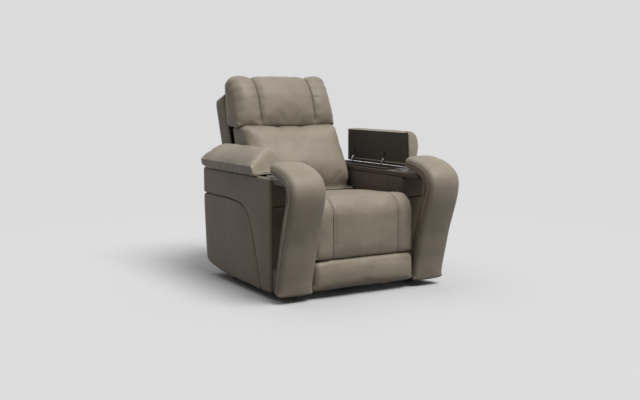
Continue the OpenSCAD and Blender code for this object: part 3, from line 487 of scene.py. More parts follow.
def longestRun(points, gap=0.04):
    # the longest run of points without a jump, the ring starting where it breaks
    points = [np.array(p) for p in points]
    jumps = [k for k in range(len(points)) if np.linalg.norm(points[k] - points[k - 1]) > gap]
    if jumps:
        points = points[jumps[0]:] + points[:jumps[0]]
    runs, run = [], [points[0]]
    for a, b in zip(points, points[1:]):
        if np.linalg.norm(b - a) > gap:
            runs.append(run)
            run = []
        run.append(b)
    return np.array(max(runs + [run], key=len))


def welted(name, piece, lines, radius, material):
    skin = skinOf(piece)
    paths = [onSurface(skin, evenSteps(line, 0.012), radius * 0.25)[0] for line in lines]
    return piped(name, paths, radius, material)


def insideLoop(points, loop):
    x, y = points[:, 0], points[:, 1]
    inside = np.zeros(len(points), bool)
    for (x1, y1), (x2, y2) in zip(loop, np.roll(loop, -1, axis=0)):
        crosses = ((y1 > y) != (y2 > y))
        with np.errstate(divide="ignore", invalid="ignore"):
            at = (x2 - x1) * (y - y1) / (y2 - y1) + x1
        inside ^= crosses & (x < at)
    return inside


def awayFrom(points, a, b):
    # how far each point is from a straight run, and where along the run its nearest place is
    d = b - a
    t = np.clip(((points - a) @ d) / max(float(d @ d), 1e-12), 0, 1)
    return np.linalg.norm(points - (a + t[:, None] * d), axis=1), t


def farFrom(points, loop):
    best = np.full(len(points), 1e9)
    for a, b in zip(loop, np.roll(loop, -1, axis=0)):
        best = np.minimum(best, awayFrom(points, a, b)[0])
    return best


def pillow(name, loops, place, look, material):
    # padded panel: rounded at its edges, crowned in the middle, flat at the back
    radii = [look["edge"]] + [look.get("holeEdge", look["edge"] * 0.4)] * (len(loops) - 1)
    loops = [np.array(l) if (loopArea(np.array(l)) > 0) == (k == 0) else np.array(l)[::-1]
             for k, l in enumerate(loops)]
    flat, edges = [], []
    for loop, r in zip(loops, radii):
        for a in (0, 14, 32, 52, 72, 90):
            ring = shrunk(loop, r * (1 - math.cos(math.radians(a)))) if a else loop
            start = len(flat)
            flat += list(ring)
            if a == 0:
                edges += [(start + i, start + (i + 1) % len(ring)) for i in range(len(ring))]
    low, high = loops[0].min(axis=0), loops[0].max(axis=0)
    step = look["step"]
    lattice = np.array([(x + (0.5 * step if k % 2 else 0), y)
                        for k, y in enumerate(np.arange(low[1] + step / 2, high[1], step * 0.9))
                        for x in np.arange(low[0] + step / 2, high[0], step)])
    clear = insideLoop(lattice, loops[0])
    for k, (loop, r) in enumerate(zip(loops, radii)):
        clear &= farFrom(lattice, loop) > r + step * 0.45
        if k:
            clear &= ~insideLoop(lattice, loop)
    flat += list(lattice[clear])
    made = delaunay_2d_cdt([Vector(p) for p in flat], edges, [], 0, 1e-6, False)
    points = np.array([v[:] for v in made[0]])
    faces = made[2]
    centres = np.array([points[list(f)].mean(axis=0) for f in faces])
    keep = insideLoop(centres, loops[0])
    for loop in loops[1:]:
        keep &= ~insideLoop(centres, loop)
    faces = [f for f, k in zip(faces, keep) if k]
    rise = np.full(len(points), 1e9)
    for loop, r in zip(loops, radii):
        d = farFrom(points, loop)
        q = np.clip(1 - d / r, 0, 1)
        rise = np.minimum(rise, np.where(d >= r, r, r * np.sqrt(np.clip(1 - q * q, 0, 1))))
    inner = np.clip(farFrom(points, loops[0]) / look.get("crownRun", 0.08), 0, 1)
    crown = look["crown"] * np.sin(inner * math.pi / 2)
    wave = np.array([noise.noise(Vector((p[0] * 9, p[1] * 9, 1))) for p in points])
    height = look["thick"] - radii[0] + rise + crown + wave * look.get("wave", 0.0008) * inner
    count = len(points)
    world = [place(p[0], p[1], h) for p, h in zip(points, height)]
    world += [place(p[0], p[1], 0.0) for p in points]
    skin = [tuple(f) for f in faces] + [tuple(count + i for i in reversed(f)) for f in faces]
    used = dict.fromkeys((f[i], f[(i + 1) % len(f)]) for f in faces for i in range(len(f)))
    skin += [(b, a, count + a, count + b) for a, b in used if (b, a) not in used]
    return newPiece(name, world, skin, material)


def roundedBox(name, low, high, radius, step, material, leftOut=None):
    # a box with true round edges, on a grid; leftOut names a face left out, such as "-y"
    low, high = np.array(low, float), np.array(high, float)
    radius = min(radius, float((high - low).min()) / 2)

    def marks(a, b):
        core = np.linspace(a + radius, b - radius, max(2, int((b - a - 2 * radius) / step) + 1))
        bend = radius * (1 - np.cos(np.radians([0, 18, 36, 54, 72])))
        return sorted({round(v, 6) for v in list(core) + list(a + bend) + list(b - bend)})
    lines = [marks(low[k], high[k]) for k in range(3)]
    points, faces, index = [], [], {}

    def at(p):
        key = tuple(round(float(v), 6) for v in p)
        if key not in index:
            index[key] = len(points)
            core = np.clip(p, low + radius, high - radius)
            d = np.array(p) - core
            size = np.linalg.norm(d)
            points.append(core + d / size * radius if size > 1e-9 else np.array(p))
        return index[key]
    for axis in range(3):
        u, v = [k for k in range(3) if k != axis]
        for sign, value in ((-1, low[axis]), (1, high[axis])):
            if leftOut == ("-" if sign < 0 else "+") + "xyz"[axis]:
                continue
            for i in range(len(lines[u]) - 1):
                for j in range(len(lines[v]) - 1):
                    corner = []
                    for di, dj in ((0, 0), (1, 0), (1, 1), (0, 1)):
                        p = [0, 0, 0]
                        p[axis], p[u], p[v] = value, lines[u][i + di], lines[v][j + dj]
                        corner.append(at(p))
                    faces.append(tuple(corner))
    return newPiece(name, points, faces, material)


# Materials, each with its own colour change, roughness and relief

def addNode(tree, kind, **values):
    n = tree.nodes.new("ShaderNode" + kind)
    for key, value in values.items():
        if key in n.inputs:
            n.inputs[key].default_value = value
        else:
            setattr(n, key, value)
    return n


def newFinish(name):
    material = bpy.data.materials.new(name)
    material.use_nodes = True
    tree = material.node_tree
    return material, tree, tree.nodes["Principled BSDF"].inputs, addNode(tree, "TexCoord").outputs["Object"]


def pattern(tree, place, kind, out="Fac", **values):
    texture = addNode(tree, "Tex" + kind, **values)
    tree.links.new(place, texture.inputs["Vector"])
    return texture.outputs[out]


def remapped(tree, value, fromLow, fromHigh, toLow, toHigh, **more):
    n = addNode(tree, "MapRange", **more)
    for key, number in zip(("From Min", "From Max", "To Min", "To Max"), (fromLow, fromHigh, toLow, toHigh)):
        n.inputs[key].default_value = number
    tree.links.new(value, n.inputs["Value"])
    return n.outputs["Result"]


def combined(tree, operation, a, b):
    n = addNode(tree, "Math", operation=operation)
    tree.links.new(a, n.inputs[0])
    tree.links.new(b, n.inputs[1])
    return n.outputs[0]


def stretched(tree, place, scale):
    n = addNode(tree, "Mapping", Scale=scale)
    tree.links.new(place, n.inputs["Vector"])
    return n.outputs["Vector"]


def linear(colour):
    shares = [c / 255 for c in colour]
    return tuple(c / 12.92 if c <= 0.04045 else ((c + 0.055) / 1.055) ** 2.4 for c in shares)


def twoTone(tree, value, look):
    # from the dark colour to the light one
    tone = addNode(tree, "Mix", data_type="RGBA")
    tone.inputs["A"].default_value = (*linear(look["dark"]), 1)
    tone.inputs["B"].default_value = (*linear(look["light"]), 1)
    tree.links.new(value, tone.inputs["Factor"])
    return tone.outputs["Result"]


def raised(tree, height, strength, distance):
    bump = addNode(tree, "Bump", Strength=strength, Distance=distance)
    tree.links.new(height, bump.inputs["Height"])
    return bump


def covered(tree, inputs, look, tone, height, strength, distance):
    # colour from one pattern, relief from another
    tree.links.new(twoTone(tree, tone, look), inputs["Base Color"])
    tree.links.new(raised(tree, height, strength, distance).outputs["Normal"], inputs["Normal"])


def roughened(tree, inputs, value, low, high, fromLow=0.0, fromHigh=1.0):
    tree.links.new(remapped(tree, value, fromLow, fromHigh, low, high), inputs["Roughness"])


def leatherFinish(name, look):
    material, tree, inputs, place = newFinish(name)
    link = tree.links.new
    cloud = pattern(tree, place, "Noise", Scale=5.0, Detail=3.0, Roughness=0.55)
    mottle = pattern(tree, place, "Noise", Scale=60.0, Detail=4.0, Roughness=0.6)
    warp = addNode(tree, "VectorMath", operation="MULTIPLY_ADD")
    warp.inputs[1].default_value = (0.004, 0.004, 0.004)
    link(pattern(tree, place, "Noise", "Color", Scale=90.0, Detail=2.0), warp.inputs[0])
    link(place, warp.inputs[2])
    pores, creases = [pattern(tree, warp.outputs[0], "Voronoi", "Distance", Scale=look[key], Randomness=1.0,
                              feature="DISTANCE_TO_EDGE") for key in ("grainScale", "creaseScale")]

    # lighter on the ridges from wear; darker in the creases and where pieces lie close together as painted shade,
    # from pointiness and ambient occlusion put into the colour
    wearAndCreaseShade = addNode(tree, "NewGeometry").outputs["Pointiness"]
    near = addNode(tree, "AmbientOcclusion", samples=8, Distance=look["paintedShadeReach"]).outputs["AO"]
    shade = combined(tree, "MULTIPLY", remapped(tree, wearAndCreaseShade, 0.44, 0.56, 0.70, 1.07),
                     remapped(tree, pores, 0.0, 0.12, 0.9, 1.0))
    shade = combined(tree, "MULTIPLY", shade, remapped(tree, near, 0.1, 0.8, look["paintedShadeTone"], 1.0))
    paint = addNode(tree, "VectorMath", operation="SCALE")
    link(twoTone(tree, remapped(tree, cloud, 0.3, 0.7, 0.0, 1.0), look), paint.inputs[0])
    link(shade, paint.inputs["Scale"])
    link(paint.outputs[0], inputs["Base Color"])
    roughened(tree, inputs, mottle, look["rough"] - 0.06, look["rough"] + 0.08, 0.3, 0.7)

    fine = raised(tree, pores, look["grain"], 0.0004)
    wide = raised(tree, creases, look["crease"], 0.0012)
    link(wide.outputs["Normal"], fine.inputs["Normal"])
    link(fine.outputs["Normal"], inputs["Normal"])
    inputs["Sheen Weight"].default_value = look["sheen"]
    inputs["Sheen Roughness"].default_value = 0.5
    inputs["Specular IOR Level"].default_value = look["specular"]
    return material


# the last two: how far the painted shade between close-lying pieces reaches, and how dark it gets
leatherLook = dict(dark=(140, 130, 116), light=(158, 148, 133), rough=0.52, sheen=0.06, specular=0.4,
                   grain=0.35, grainScale=520.0, crease=0.12, creaseScale=70.0, paintedShadeReach=0.11, paintedShadeTone=0.60)
# a darker copy of the same leather: painted shade for the sides, panels, shell and welts that face away from the
# light
shadeDarkLeatherLook = dict(leatherLook, dark=(118, 106, 92), light=(134, 122, 107), rough=0.55, crease=0.1,
                       creaseScale=60.0)


def fabricFinish(name, look):
    # plain weave: two crossed sets of threads, with lint
    material, tree, inputs, place = newFinish(name)
    threads = [pattern(tree, place, "Wave", Scale=look["threads"], Distortion=0.6, bands_direction=way)
               for way in ("X", "DIAGONAL")]
    lint = pattern(tree, place, "Noise", Scale=240.0, Detail=3.0)
    covered(tree, inputs, look, lint, combined(tree, "MAXIMUM", *threads), 0.3, 0.0005)
    roughened(tree, inputs, lint, 0.82, 0.97)
    return material


def metalFinish(name, look):
    material, tree, inputs, place = newFinish(name)
    lines = pattern(tree, stretched(tree, place, look["brush"]), "Noise", Scale=1.0, Detail=4.0,
                    Roughness=0.7)
    smudge = pattern(tree, place, "Noise", Scale=35.0, Detail=3.0)
    covered(tree, inputs, look, lines, lines, 0.15, 0.0002)
    roughened(tree, inputs, smudge, look["rough"] - 0.08, look["rough"] + 0.1)
    inputs["Metallic"].default_value = 1.0
    return material


def plasticFinish(name, look):
    material, tree, inputs, place = newFinish(name)
    dust = pattern(tree, place, "Noise", Scale=18.0, Detail=4.0)
    spark = pattern(tree, place, "Noise", Scale=900.0, Detail=2.0)
    covered(tree, inputs, look, dust, spark, 0.25, 0.0002)
    roughened(tree, inputs, dust, look["rough"] - 0.08, look["rough"] + 0.08)
    return material


def woodFinish(name, look):
    material, tree, inputs, place = newFinish(name)
    rings = pattern(tree, stretched(tree, place, (14, 3, 60)), "Noise", Scale=2.5, Detail=6.0, Roughness=0.6,
                    Distortion=0.8)
    covered(tree, inputs, look, rings, rings, 0.2, 0.0004)
    inputs["Roughness"].default_value = 0.72
    return material


softLeather = leatherFinish("softLeather", leatherLook)
shadeDarkLeather = leatherFinish("shadeDarkLeather", shadeDarkLeatherLook)
# darker still: painted shade for the inner arm panels, arm tops and toe covers, which lie in deep shade
deepShadeLeather = leatherFinish("deepShadeLeather", dict(shadeDarkLeatherLook, dark=(94, 85, 74), light=(108, 98, 86)))
darkLining = fabricFinish("darkLining", dict(dark=(76, 72, 66), light=(92, 87, 80), threads=260.0))
binLining = fabricFinish("binLining", dict(dark=(30, 28, 26), light=(42, 39, 36), threads=300.0))
elasticWeb = fabricFinish("elasticWeb", dict(dark=(22, 22, 23), light=(40, 39, 38), threads=180.0))
blackPowder = plasticFinish("blackPowder", dict(dark=(26, 26, 27), light=(36, 36, 37), rough=0.5))
blackPlastic = plasticFinish("blackPlastic", dict(dark=(20, 20, 21), light=(30, 30, 31), rough=0.55))
glidePlastic = plasticFinish("glidePlastic", dict(dark=(24, 24, 24), light=(33, 33, 33), rough=0.6))
zincPlate = metalFinish("zincPlate", dict(dark=(165, 165, 168), light=(196, 196, 198), rough=0.38,
                                          brush=(900, 60, 60)))
nickelPlate = metalFinish("nickelPlate", dict(dark=(196, 196, 198), light=(226, 226, 228), rough=0.26,
                                              brush=(300, 900, 300)))
cupSteel = metalFinish("cupSteel", dict(dark=(196, 197, 200), light=(226, 227, 230), rough=0.28,
                                        brush=(80, 80, 1400)))
buttonMetal = metalFinish("buttonMetal", dict(dark=(120, 120, 124), light=(146, 146, 150), rough=0.4,
                                              brush=(60, 900, 60)))
seamThread = fabricFinish("seamThread", dict(dark=(92, 84, 74), light=(118, 109, 97), threads=400.0))
barePly = woodFinish("barePly", dict(dark=(168, 134, 92), light=(205, 174, 130)))

finishOfSlot = {
    "leather": softLeather, "side_leather": shadeDarkLeather, "lining": darkLining, "plywood": barePly,
    "dark_steel": blackPowder, "zinc_steel": zincPlate, "hinge_steel": nickelPlate, "cup_steel": cupSteel,
    "button_metal": buttonMetal, "black_plastic": blackPlastic, "glide_plastic": glidePlastic,
    "webbing": elasticWeb,
}
for part in frame["record"]["subparts"]:
    node = nodes[part["node"]]
    node.data.materials.clear()
    node.data.materials.append(finishOfSlot[part["material_slot"]])
print("finishes done")


# What the pieces share: body, filling, side outlines and stitches

def dressed(piece, body, slotName, *replaced, fill=None):
    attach(piece, body)
    if replaced:
        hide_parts(*replaced)


def filled(piece, look, held, where=None, shift=0):
    # pressed out by air, unevenly swollen, then subdivided once
    tall, size, seed = look["swell"]
    puffed(piece, look, held)
    ruffled(piece, tall, size, seed + shift, where)
    modified(piece, "SUBSURF", levels=1, render_levels=1)
    baked(piece)


def boxSides(nodeName):
    low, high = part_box(nodeName)
    return np.array(low), np.array(high)


def sideOutline(nodeName, grow, at=0.0001, step=0.010, corner=60, rounds=2):
    # a solid's outline from the side, grown by an amount that depends on the place
    return swollen(softLoop(cutLoop(nodeName, 0, at), step, corner, rounds), grow)


def lowest(loop):
    return int(np.argmin(loop[:, 1]))


def frontmost(loop):
    return int(np.argmin(loop[:, 0]))


def nearest(y, z):
    return lambda loop: int(np.argmin((loop[:, 0] - y) ** 2 + (loop[:, 1] - z) ** 2))


def alongChannels(look, profile, *offs):
    # a profile carried to each sewn channel, or a little beside it
    return [[(at + off, y, z) for y, z in profile] for at in look["channels"] for off in offs]


stitchLook = dict(pitch=0.0065, thread=0.0006, gap=0.16)


def offChannel(look, p):
    return abs(abs(p.x) - look["channels"][1])


def makePad(name, node, body, look, loop, fixed, where=None, folds=(), seams=()):
    # a sewn pad in place of a soft solid, with folds pressed in and rows of stitches
    low, high = boxSides(node)
    piece = sweptPad(name, loop, low[0] - look["wider"], high[0] + look["wider"], look, softLeather)

    def held(p, normal):
        if fixed(p, normal):
            return 1.0
        return look["endHold"] if abs(p.x) > high[0] - look["endBand"] else 0.0
    filled(piece, look, held, where)
    if folds:
        creased(piece, folds)
    if seams:
        dressed(stitched(look["stitches"], piece, seams, stitchLook, seamThread), body, "leather")
    dressed(piece, body, "leather", node, fill=look["fill"])


# Seat, leg rest and foot pad

seatLook = dict(step=0.018, soft=0.020, crown=0.006, columns=8, startAt=frontmost, sidePuff=0.002, wider=0.0,
                nose=0.003, endHold=1.0, endBand=0.012, spare=0.012, cap=0.006, swell=(0.003, 0.16, 3),
                stitches="seatStitches", fill=0.8)


def makeSeat():
    low, high = boxSides("seat_cushion")

    def grow(p, outward):
        return seatLook["nose"] * smoothStep(0.2, 0.8, -outward[0]) * smoothStep(0.44, 0.46, p[1])
    crest = [(x, -0.262, 0.50) for x in np.linspace(low[0] + 0.03, high[0] - 0.03, 9)]
    fold = [(0.10, -0.24, 0.50), (0.13, -0.215, 0.50), (0.14, -0.17, 0.50)]
    makePad("seatCushion", "seat_cushion", "base", seatLook,
            sideOutline("seat_cushion", grow, step=0.012, corner=50),
            fixed=lambda p, normal: normal.z < 0.25 or p.z < 0.44 or p.y < -0.24,
            where=lambda p: smoothStep(0.45, 0.47, p.z),
            folds=[(crest, 0.003, 0.006), (fold, 0.003, 0.012)],
            seams=[[(x, y + 0.008, z) for x, y, z in crest]])


legLook = dict(step=0.016, soft=0.040, rearShare=0.25, crown=0.010, bow=4, columns=5, startAt=lowest,
               channels=(-0.189, 0.189), channelWide=0.026, channelDeep=0.009, wider=0.002, fuller=0.006,
               roll=0.105, endHold=0.75, endBand=0.02, spare=0.004, cap=0.005, swell=(0.0022, 0.10, 5),
               stitches="legStitches", fill=0.8)


def makeLegPad():
    look = legLook
    _, axisY, axisZ = joints["leg_rest_hinge"]["pos_m"]

    def grow(p, outward):
        # no fuller where it rolls past the seat
        turn = math.degrees(math.atan2(p[1] - axisZ, p[0] - axisY))
        facing = smoothStep(0.0, 0.5, max(-outward[0], outward[1]))
        clear = smoothStep(70, 92, turn) if turn > 0 else 1.0
        return look["fuller"] * facing * clear * (0.35 + 0.65 * smoothStep(0.19, 0.24, p[1]))

    def fixed(p, normal):
        rear = normal.y > -0.1 and normal.z < 0.3
        return rear or p.z < 0.205 or p.y > axisY - 0.005 or offChannel(look, p) < 0.006
    valley = [(axisY - 0.02, axisZ + 0.093), (axisY - 0.06, 0.47), (-0.40, 0.40), (-0.405, 0.30),
              (-0.402, 0.215)]
    front = [(axisY - 0.02 - look["roll"] * math.sin(math.radians(a)),
              axisZ + look["roll"] * math.cos(math.radians(a))) for a in range(0, 91, 10)]
    front += [(axisY - 0.125, z) for z in (0.36, 0.31, 0.26, 0.20)]
    makePad("legPad", "leg_pad", "leg_rest", look, sideOutline("leg_pad", grow), fixed,
            where=lambda p: smoothStep(0.0, 0.03, offChannel(look, p)),
            folds=[(line, 0.004, 0.005) for line in alongChannels(look, valley, 0)],
            seams=alongChannels(look, front, -0.009, 0.009))


footLook = dict(step=0.018, soft=0.034, rearShare=0.3, crown=0.010, bow=4, columns=5, startAt=lowest,
                wider=0.002, fuller=0.008, endHold=0.75, endBand=0.02, spare=0.005, cap=0.007,
                swell=(0.0025, 0.11, 8), fill=0.85)


def makeFootPad():
    def grow(p, outward):
        facing = max(-outward[0], -outward[1] * 0.7, outward[1] * 0.35)
        return footLook["fuller"] * smoothStep(-0.1, 0.5, facing)
    makePad("footPad", "foot_pad", "leg_rest", footLook, sideOutline("foot_pad", grow),
            fixed=lambda p, normal: normal.y > -0.1 or p.z > 0.176)


makeSeat()
makeLegPad()
makeFootPad()
print("seat and leg rest done")


# Back cushion, headrest and outer shell

backLook = dict(step=0.018, soft=0.042, rearShare=0.25, topShare=0.4, crown=0.004, topCrown=0.1, columns=8,
                startAt=nearest(0.30, 0.457), sidePuff=0.002, wider=0.002, lift=0.016, deep=0.008, tuck=0.016,
                endHold=0.8, endBand=0.016, spare=0.016, cap=0.020, swell=(0.0035, 0.15, 11), fill=0.85)
backFolds = [([(-0.262, 0.418, 0.775), (-0.225, 0.395, 0.760), (-0.18, 0.375, 0.742)], 0.005, 0.016),
             ([(-0.272, 0.395, 0.735), (-0.235, 0.372, 0.728), (-0.20, 0.360, 0.722)], 0.004, 0.014),
             ([(-0.255, 0.435, 0.792), (-0.215, 0.42, 0.785)], 0.004, 0.012),
             ([(0.262, 0.415, 0.775), (0.232, 0.398, 0.762)], 0.003, 0.014)]


def makeBack():
    look = backLook
    loop = softLoop(cutLoop("back_cushion", 0, 0.0001), 0.012, corner=50)
    loop[:, 1] += look["lift"] * np.array([smoothStep(0.70, 0.775, z) for z in loop[:, 1]])

    def grow(p, outward):
        # fuller at the front, tucked in towards the seat
        fuller = look["deep"] * smoothStep(0.48, 0.58, p[1]) - look["tuck"] * smoothStep(0.52, 0.46, p[1])
        return smoothStep(0.1, 0.7, -outward[0]) * fuller
    makePad("backCushion", "back_cushion", "back", look, swollen(loop, grow),
            fixed=lambda p, normal: normal.y > 0.05 or p.z < 0.49,
            where=lambda p: 1 - smoothStep(0.2, 0.5, p.y) * 0.5, folds=backFolds)


headLook = dict(step=0.016, soft=0.058, rearShare=0.5, bottomShare=0.15, crown=0.016, bow=3, topCrown=0.1,
                columns=10, startAt=nearest(0.46, 0.808), sidePuff=0.006, wider=0.0,
                channels=(-0.170, 0.170), channelWide=0.066, channelDeep=0.022,
                endHold=0.85, endBand=0.014, spare=0.014, cap=0.010, swell=(0.003, 0.12, 21),
                sewnAt=lambda p: smoothStep(0.80, 0.835, p[1]),
                softAt=lambda p: (0.32 + 0.68 * smoothStep(0.80, 0.97, p[1])
                                  - 0.25 * smoothStep(0.99, 1.05, p[1])),
                stitches="headStitches", fill=0.9)
headSeam = [(0.392, 0.832), (0.388, 0.87), (0.400, 0.915), (0.420, 0.965), (0.452, 1.015), (0.49, 1.055),
            (0.54, 1.075)]


def makeHead():
    look = headLook

    def grow(p, outward):
        # a little over the top, more where it hangs in front of the back cushion
        hanging = 0.006 + 0.010 * smoothStep(0.40, 0.46, p[0])
        return 0.004 * smoothStep(0.2, 0.8, outward[1]) + smoothStep(0.3, 0.9, -outward[1]) * hanging
    makePad("headCushion", "head_cushion", "headrest", look, sideOutline("head_cushion", grow),
            fixed=lambda p, normal: normal.z < -0.4 or offChannel(look, p) < 0.010 or p.z < 0.815,
            where=lambda p: smoothStep(0.0, 0.04, offChannel(look, p)),
            folds=[(line, 0.006, 0.005) for line in alongChannels(look, headSeam, 0)],
            seams=alongChannels(look, headSeam, -0.0075, 0.0075))


shellLook = dict(radius=0.026, wall=0.009, step=0.03, tilt=18.5, sit=0.103, deep=0.130, down=0.129, up=0.680,
                 wider=0.003, weltRadius=0.003)


def makeShell():
    look = shellLook
    wide = boxSides("back_shell")[1][0] + look["wider"]
    rear = look["sit"] + look["deep"]
    piece = roundedBox("backShell", (-wide, look["sit"] - look["radius"], -look["down"]),
                       (wide, rear, look["up"]), look["radius"], look["step"], shadeDarkLeather, leftOut="-y")
    built = bmesh.new()
    built.from_mesh(piece.data)
    bmesh.ops.delete(built, geom=[v for v in built.verts if v.co.y < look["sit"] - 0.001], context="VERTS")
    built.to_mesh(piece.data)
    built.free()
    modified(piece, "SOLIDIFY", thickness=look["wall"], offset=-1)
    baked(piece)
    pivot = Matrix.Translation(Vector(joints["back_recline"]["pos_m"]))
    turn = pivot @ Matrix.Rotation(math.radians(-look["tilt"]), 4, "X")
    piece.data.transform(turn)
    dressed(piece, "back", "side_leather", "back_shell")
    # a welt round the rear face, on the turn of its edges
    bend = look["radius"] * 0.3
    corners = rectangle(bend - wide, bend - look["down"], wide - bend, look["up"] - bend)
    ring = softLoop(corners, 0.02, rounds=3)
    line = np.array([tuple(turn @ Vector((x, rear - bend, z))) for x, z in list(ring) + [ring[0]]])
    dressed(welted("shellWelt", piece, [line], look["weltRadius"], shadeDarkLeather), "back", "side_leather")


makeBack()
makeHead()
makeShell()
print("back done")


# Arms

armPadLook = dict(step=0.016, soft=0.022, rearShare=0.15, crown=0.010, bow=2.5, columns=5, startAt=lowest,
                  fuller=0.018, wider=0.004, spare=0.0, cap=0.008, bending=8, pressure=3,
                  swell=(0.002, 0.10, 31), weltRadius=0.0026)
padBackLook = dict(step=0.03, soft=0.005, crown=0.0, columns=3, startAt=lowest, grow=0.0015, wider=0.003)
toeLook = dict(step=0.03, soft=0.010, crown=0.0, columns=4, startAt=lowest, grow=0.009,
               inner=0.320, outer=0.446,
               outline=[(-0.262, 0.044), (-0.324, 0.044), (-0.330, 0.088), (-0.262, 0.154)])
panelLook = dict(edge=0.009, thick=0.0147, crown=0.003, step=0.022, crownRun=0.06)
bandLook = dict(panelLook, edge=0.011, crown=0.001, crownRun=0.05)
sideLook = dict(panelLook, thick=0.0127)
flatLook = dict(panelLook, crown=0.0)
topLook = dict(edge=0.010, holeEdge=0.004, thick=0.030, crown=0.0, wave=0.0, step=0.02, crownRun=0.03,
               front=-0.384, side=0.0135, bevel=0.6, wellRadius=0.0445)
liningLook = dict(edge=0.001, thick=0.0018, crown=0.0, wave=0.0, step=0.05,
                  front=-0.112, rear=0.500, outer=0.4335)


def makeFrontPad(side):
    sign = sides[side]
    tail = side.capitalize()
    low, high = boxSides("arm_pad_" + side)
    middle = (low[0] + high[0]) / 2 + 0.0001
    look = armPadLook

    def grow(p, outward):
        full = look["fuller"] * smoothStep(0.0, 0.6, max(-outward[0], outward[1]))
        return full * (0.45 + 0.55 * smoothStep(0.25, 0.50, p[1]))

    def held(p, normal):
        if max(-normal.y, normal.z) < 0.15 or p.z < 0.06:
            return 1.0
        return 0.8 if min(p.x - low[0], high[0] - p.x) < 0.012 else 0.0
    # wider on the outer side only, so the leg rest passes on the inner side
    left, right = low[0] - look["wider"] * (sign < 0), high[0] + look["wider"] * (sign > 0)
    loop = sideOutline("arm_pad_" + side, grow, middle)
    pad = sweptPad("armPad" + tail, loop, left, right, look, softLeather)
    filled(pad, look, held, shift=sign)
    dressed(pad, "base", "leather", "arm_pad_" + side, fill=0.85)
    edges = [longestRun(ring) for ring in endRings[pad.name]]
    # the welts in the darker leather: painted shade along the seam
    dressed(welted("armWelt" + tail, pad, edges, look["weltRadius"], shadeDarkLeather), "base", "leather")

    look = padBackLook
    loop = sideOutline("pad_board_" + side, lambda p, outward: look["grow"], middle, rounds=1)
    left, right = low[0] - look["wider"], high[0] + look["wider"]
    back = sweptPad("padBack" + tail, loop, left, right, look, shadeDarkLeather)
    dressed(back, "base", "side_leather", "pad_board_" + side)

    look = toeLook
    near, far = sorted((sign * look["inner"], sign * look["outer"]))
    loop = swollen(softLoop(look["outline"], 0.012, corner=30), lambda p, outward: look["grow"])
    toe = sweptPad("toeCover" + tail, loop, near - look["grow"], far + look["grow"], look, deepShadeLeather)
    dressed(toe, "base", "side_leather")


def makePanel(side, title, word, look, inward=False, topAt=None, material=shadeDarkLeather):
    # padded leather over the outer or the inner face of a panel
    name = word + "_" + side
    low, high = boxSides(name)
    face = sides[side] * (min if inward else max)(abs(low[0]), abs(high[0]))
    out = -sides[side] if inward else sides[side]
    outline, *holes = faceLoops(name, 0, face)
    if topAt:
        outline[outline[:, 1] > 0.55, 1] = topAt
    x = face - out * look["thick"]
    panel = pillow(title + side.capitalize(), [softLoop(outline, 0.010)] + (holes if inward else []),
                   lambda a, b, h: (x + out * h, a, b), look, material)
    dressed(panel, "base", "side_leather", name)


def makeFrontPanels(side, look):
    name = "arm_front_panel_" + side
    front = boxSides(name)[0][1]
    for word, loop in zip(("Low", "High"), faceLoops(name, 1, front)):
        panel = pillow("armFront" + word + side.capitalize(), [softLoop(loop, 0.010)],
                       lambda a, b, h: (a, front + look["thick"] - h, b), look, shadeDarkLeather)
        dressed(panel, "base", "side_leather", *([name] if word == "Low" else []))


def makeRearPanel(side):
    name = "arm_rear_panel_" + side
    low, high = boxSides(name)
    outline = cutLoop(name, 0, (low[0] + high[0]) / 2)
    # its rear edge, going up: the rearmost point at each height
    rear = []
    for level in np.linspace(low[2], high[2], 40):
        z = min(max(level, low[2] + 1e-4), high[2] - 1e-4)
        runs = [(a, b) for a, b in zip(outline, np.roll(outline, -1, axis=0)) if (a[1] > z) != (b[1] > z)]
        rear.append((max(a[0] + (b[0] - a[0]) * (z - a[1]) / (b[1] - a[1]) for a, b in runs), z))
    depths, heights = zip(*rear)

    def place(a, b, h):
        return a, float(np.interp(b, heights, depths)) - panelLook["thick"] + h, b
    loop = softLoop(rectangle(low[0], low[2], high[0], high[2]), 0.012)
    panel = pillow("armRear" + side.capitalize(), [loop], place, panelLook, shadeDarkLeather)
    dressed(panel, "base", "side_leather", name)


def makeArmTop(side, topZ):
    sign = sides[side]
    look = topLook
    low, high = boxSides("arm_top_" + side)
    binLow, binHigh = boxSides("bin_" + side)
    cup = sum(boxSides("cup_holder_" + side)) / 2
    left, right = low[0] + look["side"] * (sign < 0), high[0] - look["side"] * (sign > 0)
    wall = 0.003
    mouth = rectangle(binLow[0] + wall, binLow[1] + wall, binHigh[0] - wall, binHigh[1] - wall)
    well = [(cup[0] + look["wellRadius"] * math.cos(math.radians(a)),
             cup[1] + look["wellRadius"] * math.sin(math.radians(a))) for a in range(0, 360, 10)]

    def place(a, b, h):
        # the front edge leans out towards its foot
        ahead = 1 - smoothStep(look["front"], look["front"] + 0.08, b)
        lean = look["bevel"] * (look["thick"] - min(h, look["thick"])) * ahead
        return a, b - lean, topZ - look["thick"] + h
    loop = rectangle(left, look["front"], right, high[1] - 0.0005)
    outlines = [softLoop(loop, 0.012), softLoop(mouth, 0.012), np.array(well)]
    # the arm top in the darkest leather, as painted shade
    top = pillow("armTop" + side.capitalize(), outlines, place, look, deepShadeLeather)
    dressed(top, "base", "leather", "arm_top_" + side)

    # the bin's lining stops short of the hinge side, where the open lid comes down
    near, far = sorted((sign * (min(abs(left), abs(right)) + 0.003), sign * liningLook["outer"]))
    rim = rectangle(near, liningLook["front"], far, liningLook["rear"])
    outlines = [softLoop(loop, 0.014, rounds=1) for loop in (rim, mouth)]
    lining = pillow("armLining" + side.capitalize(), outlines,
                    lambda a, b, h: (a, b, topZ - 0.0005 + h), liningLook, binLining)
    dressed(lining, "base", "lining")


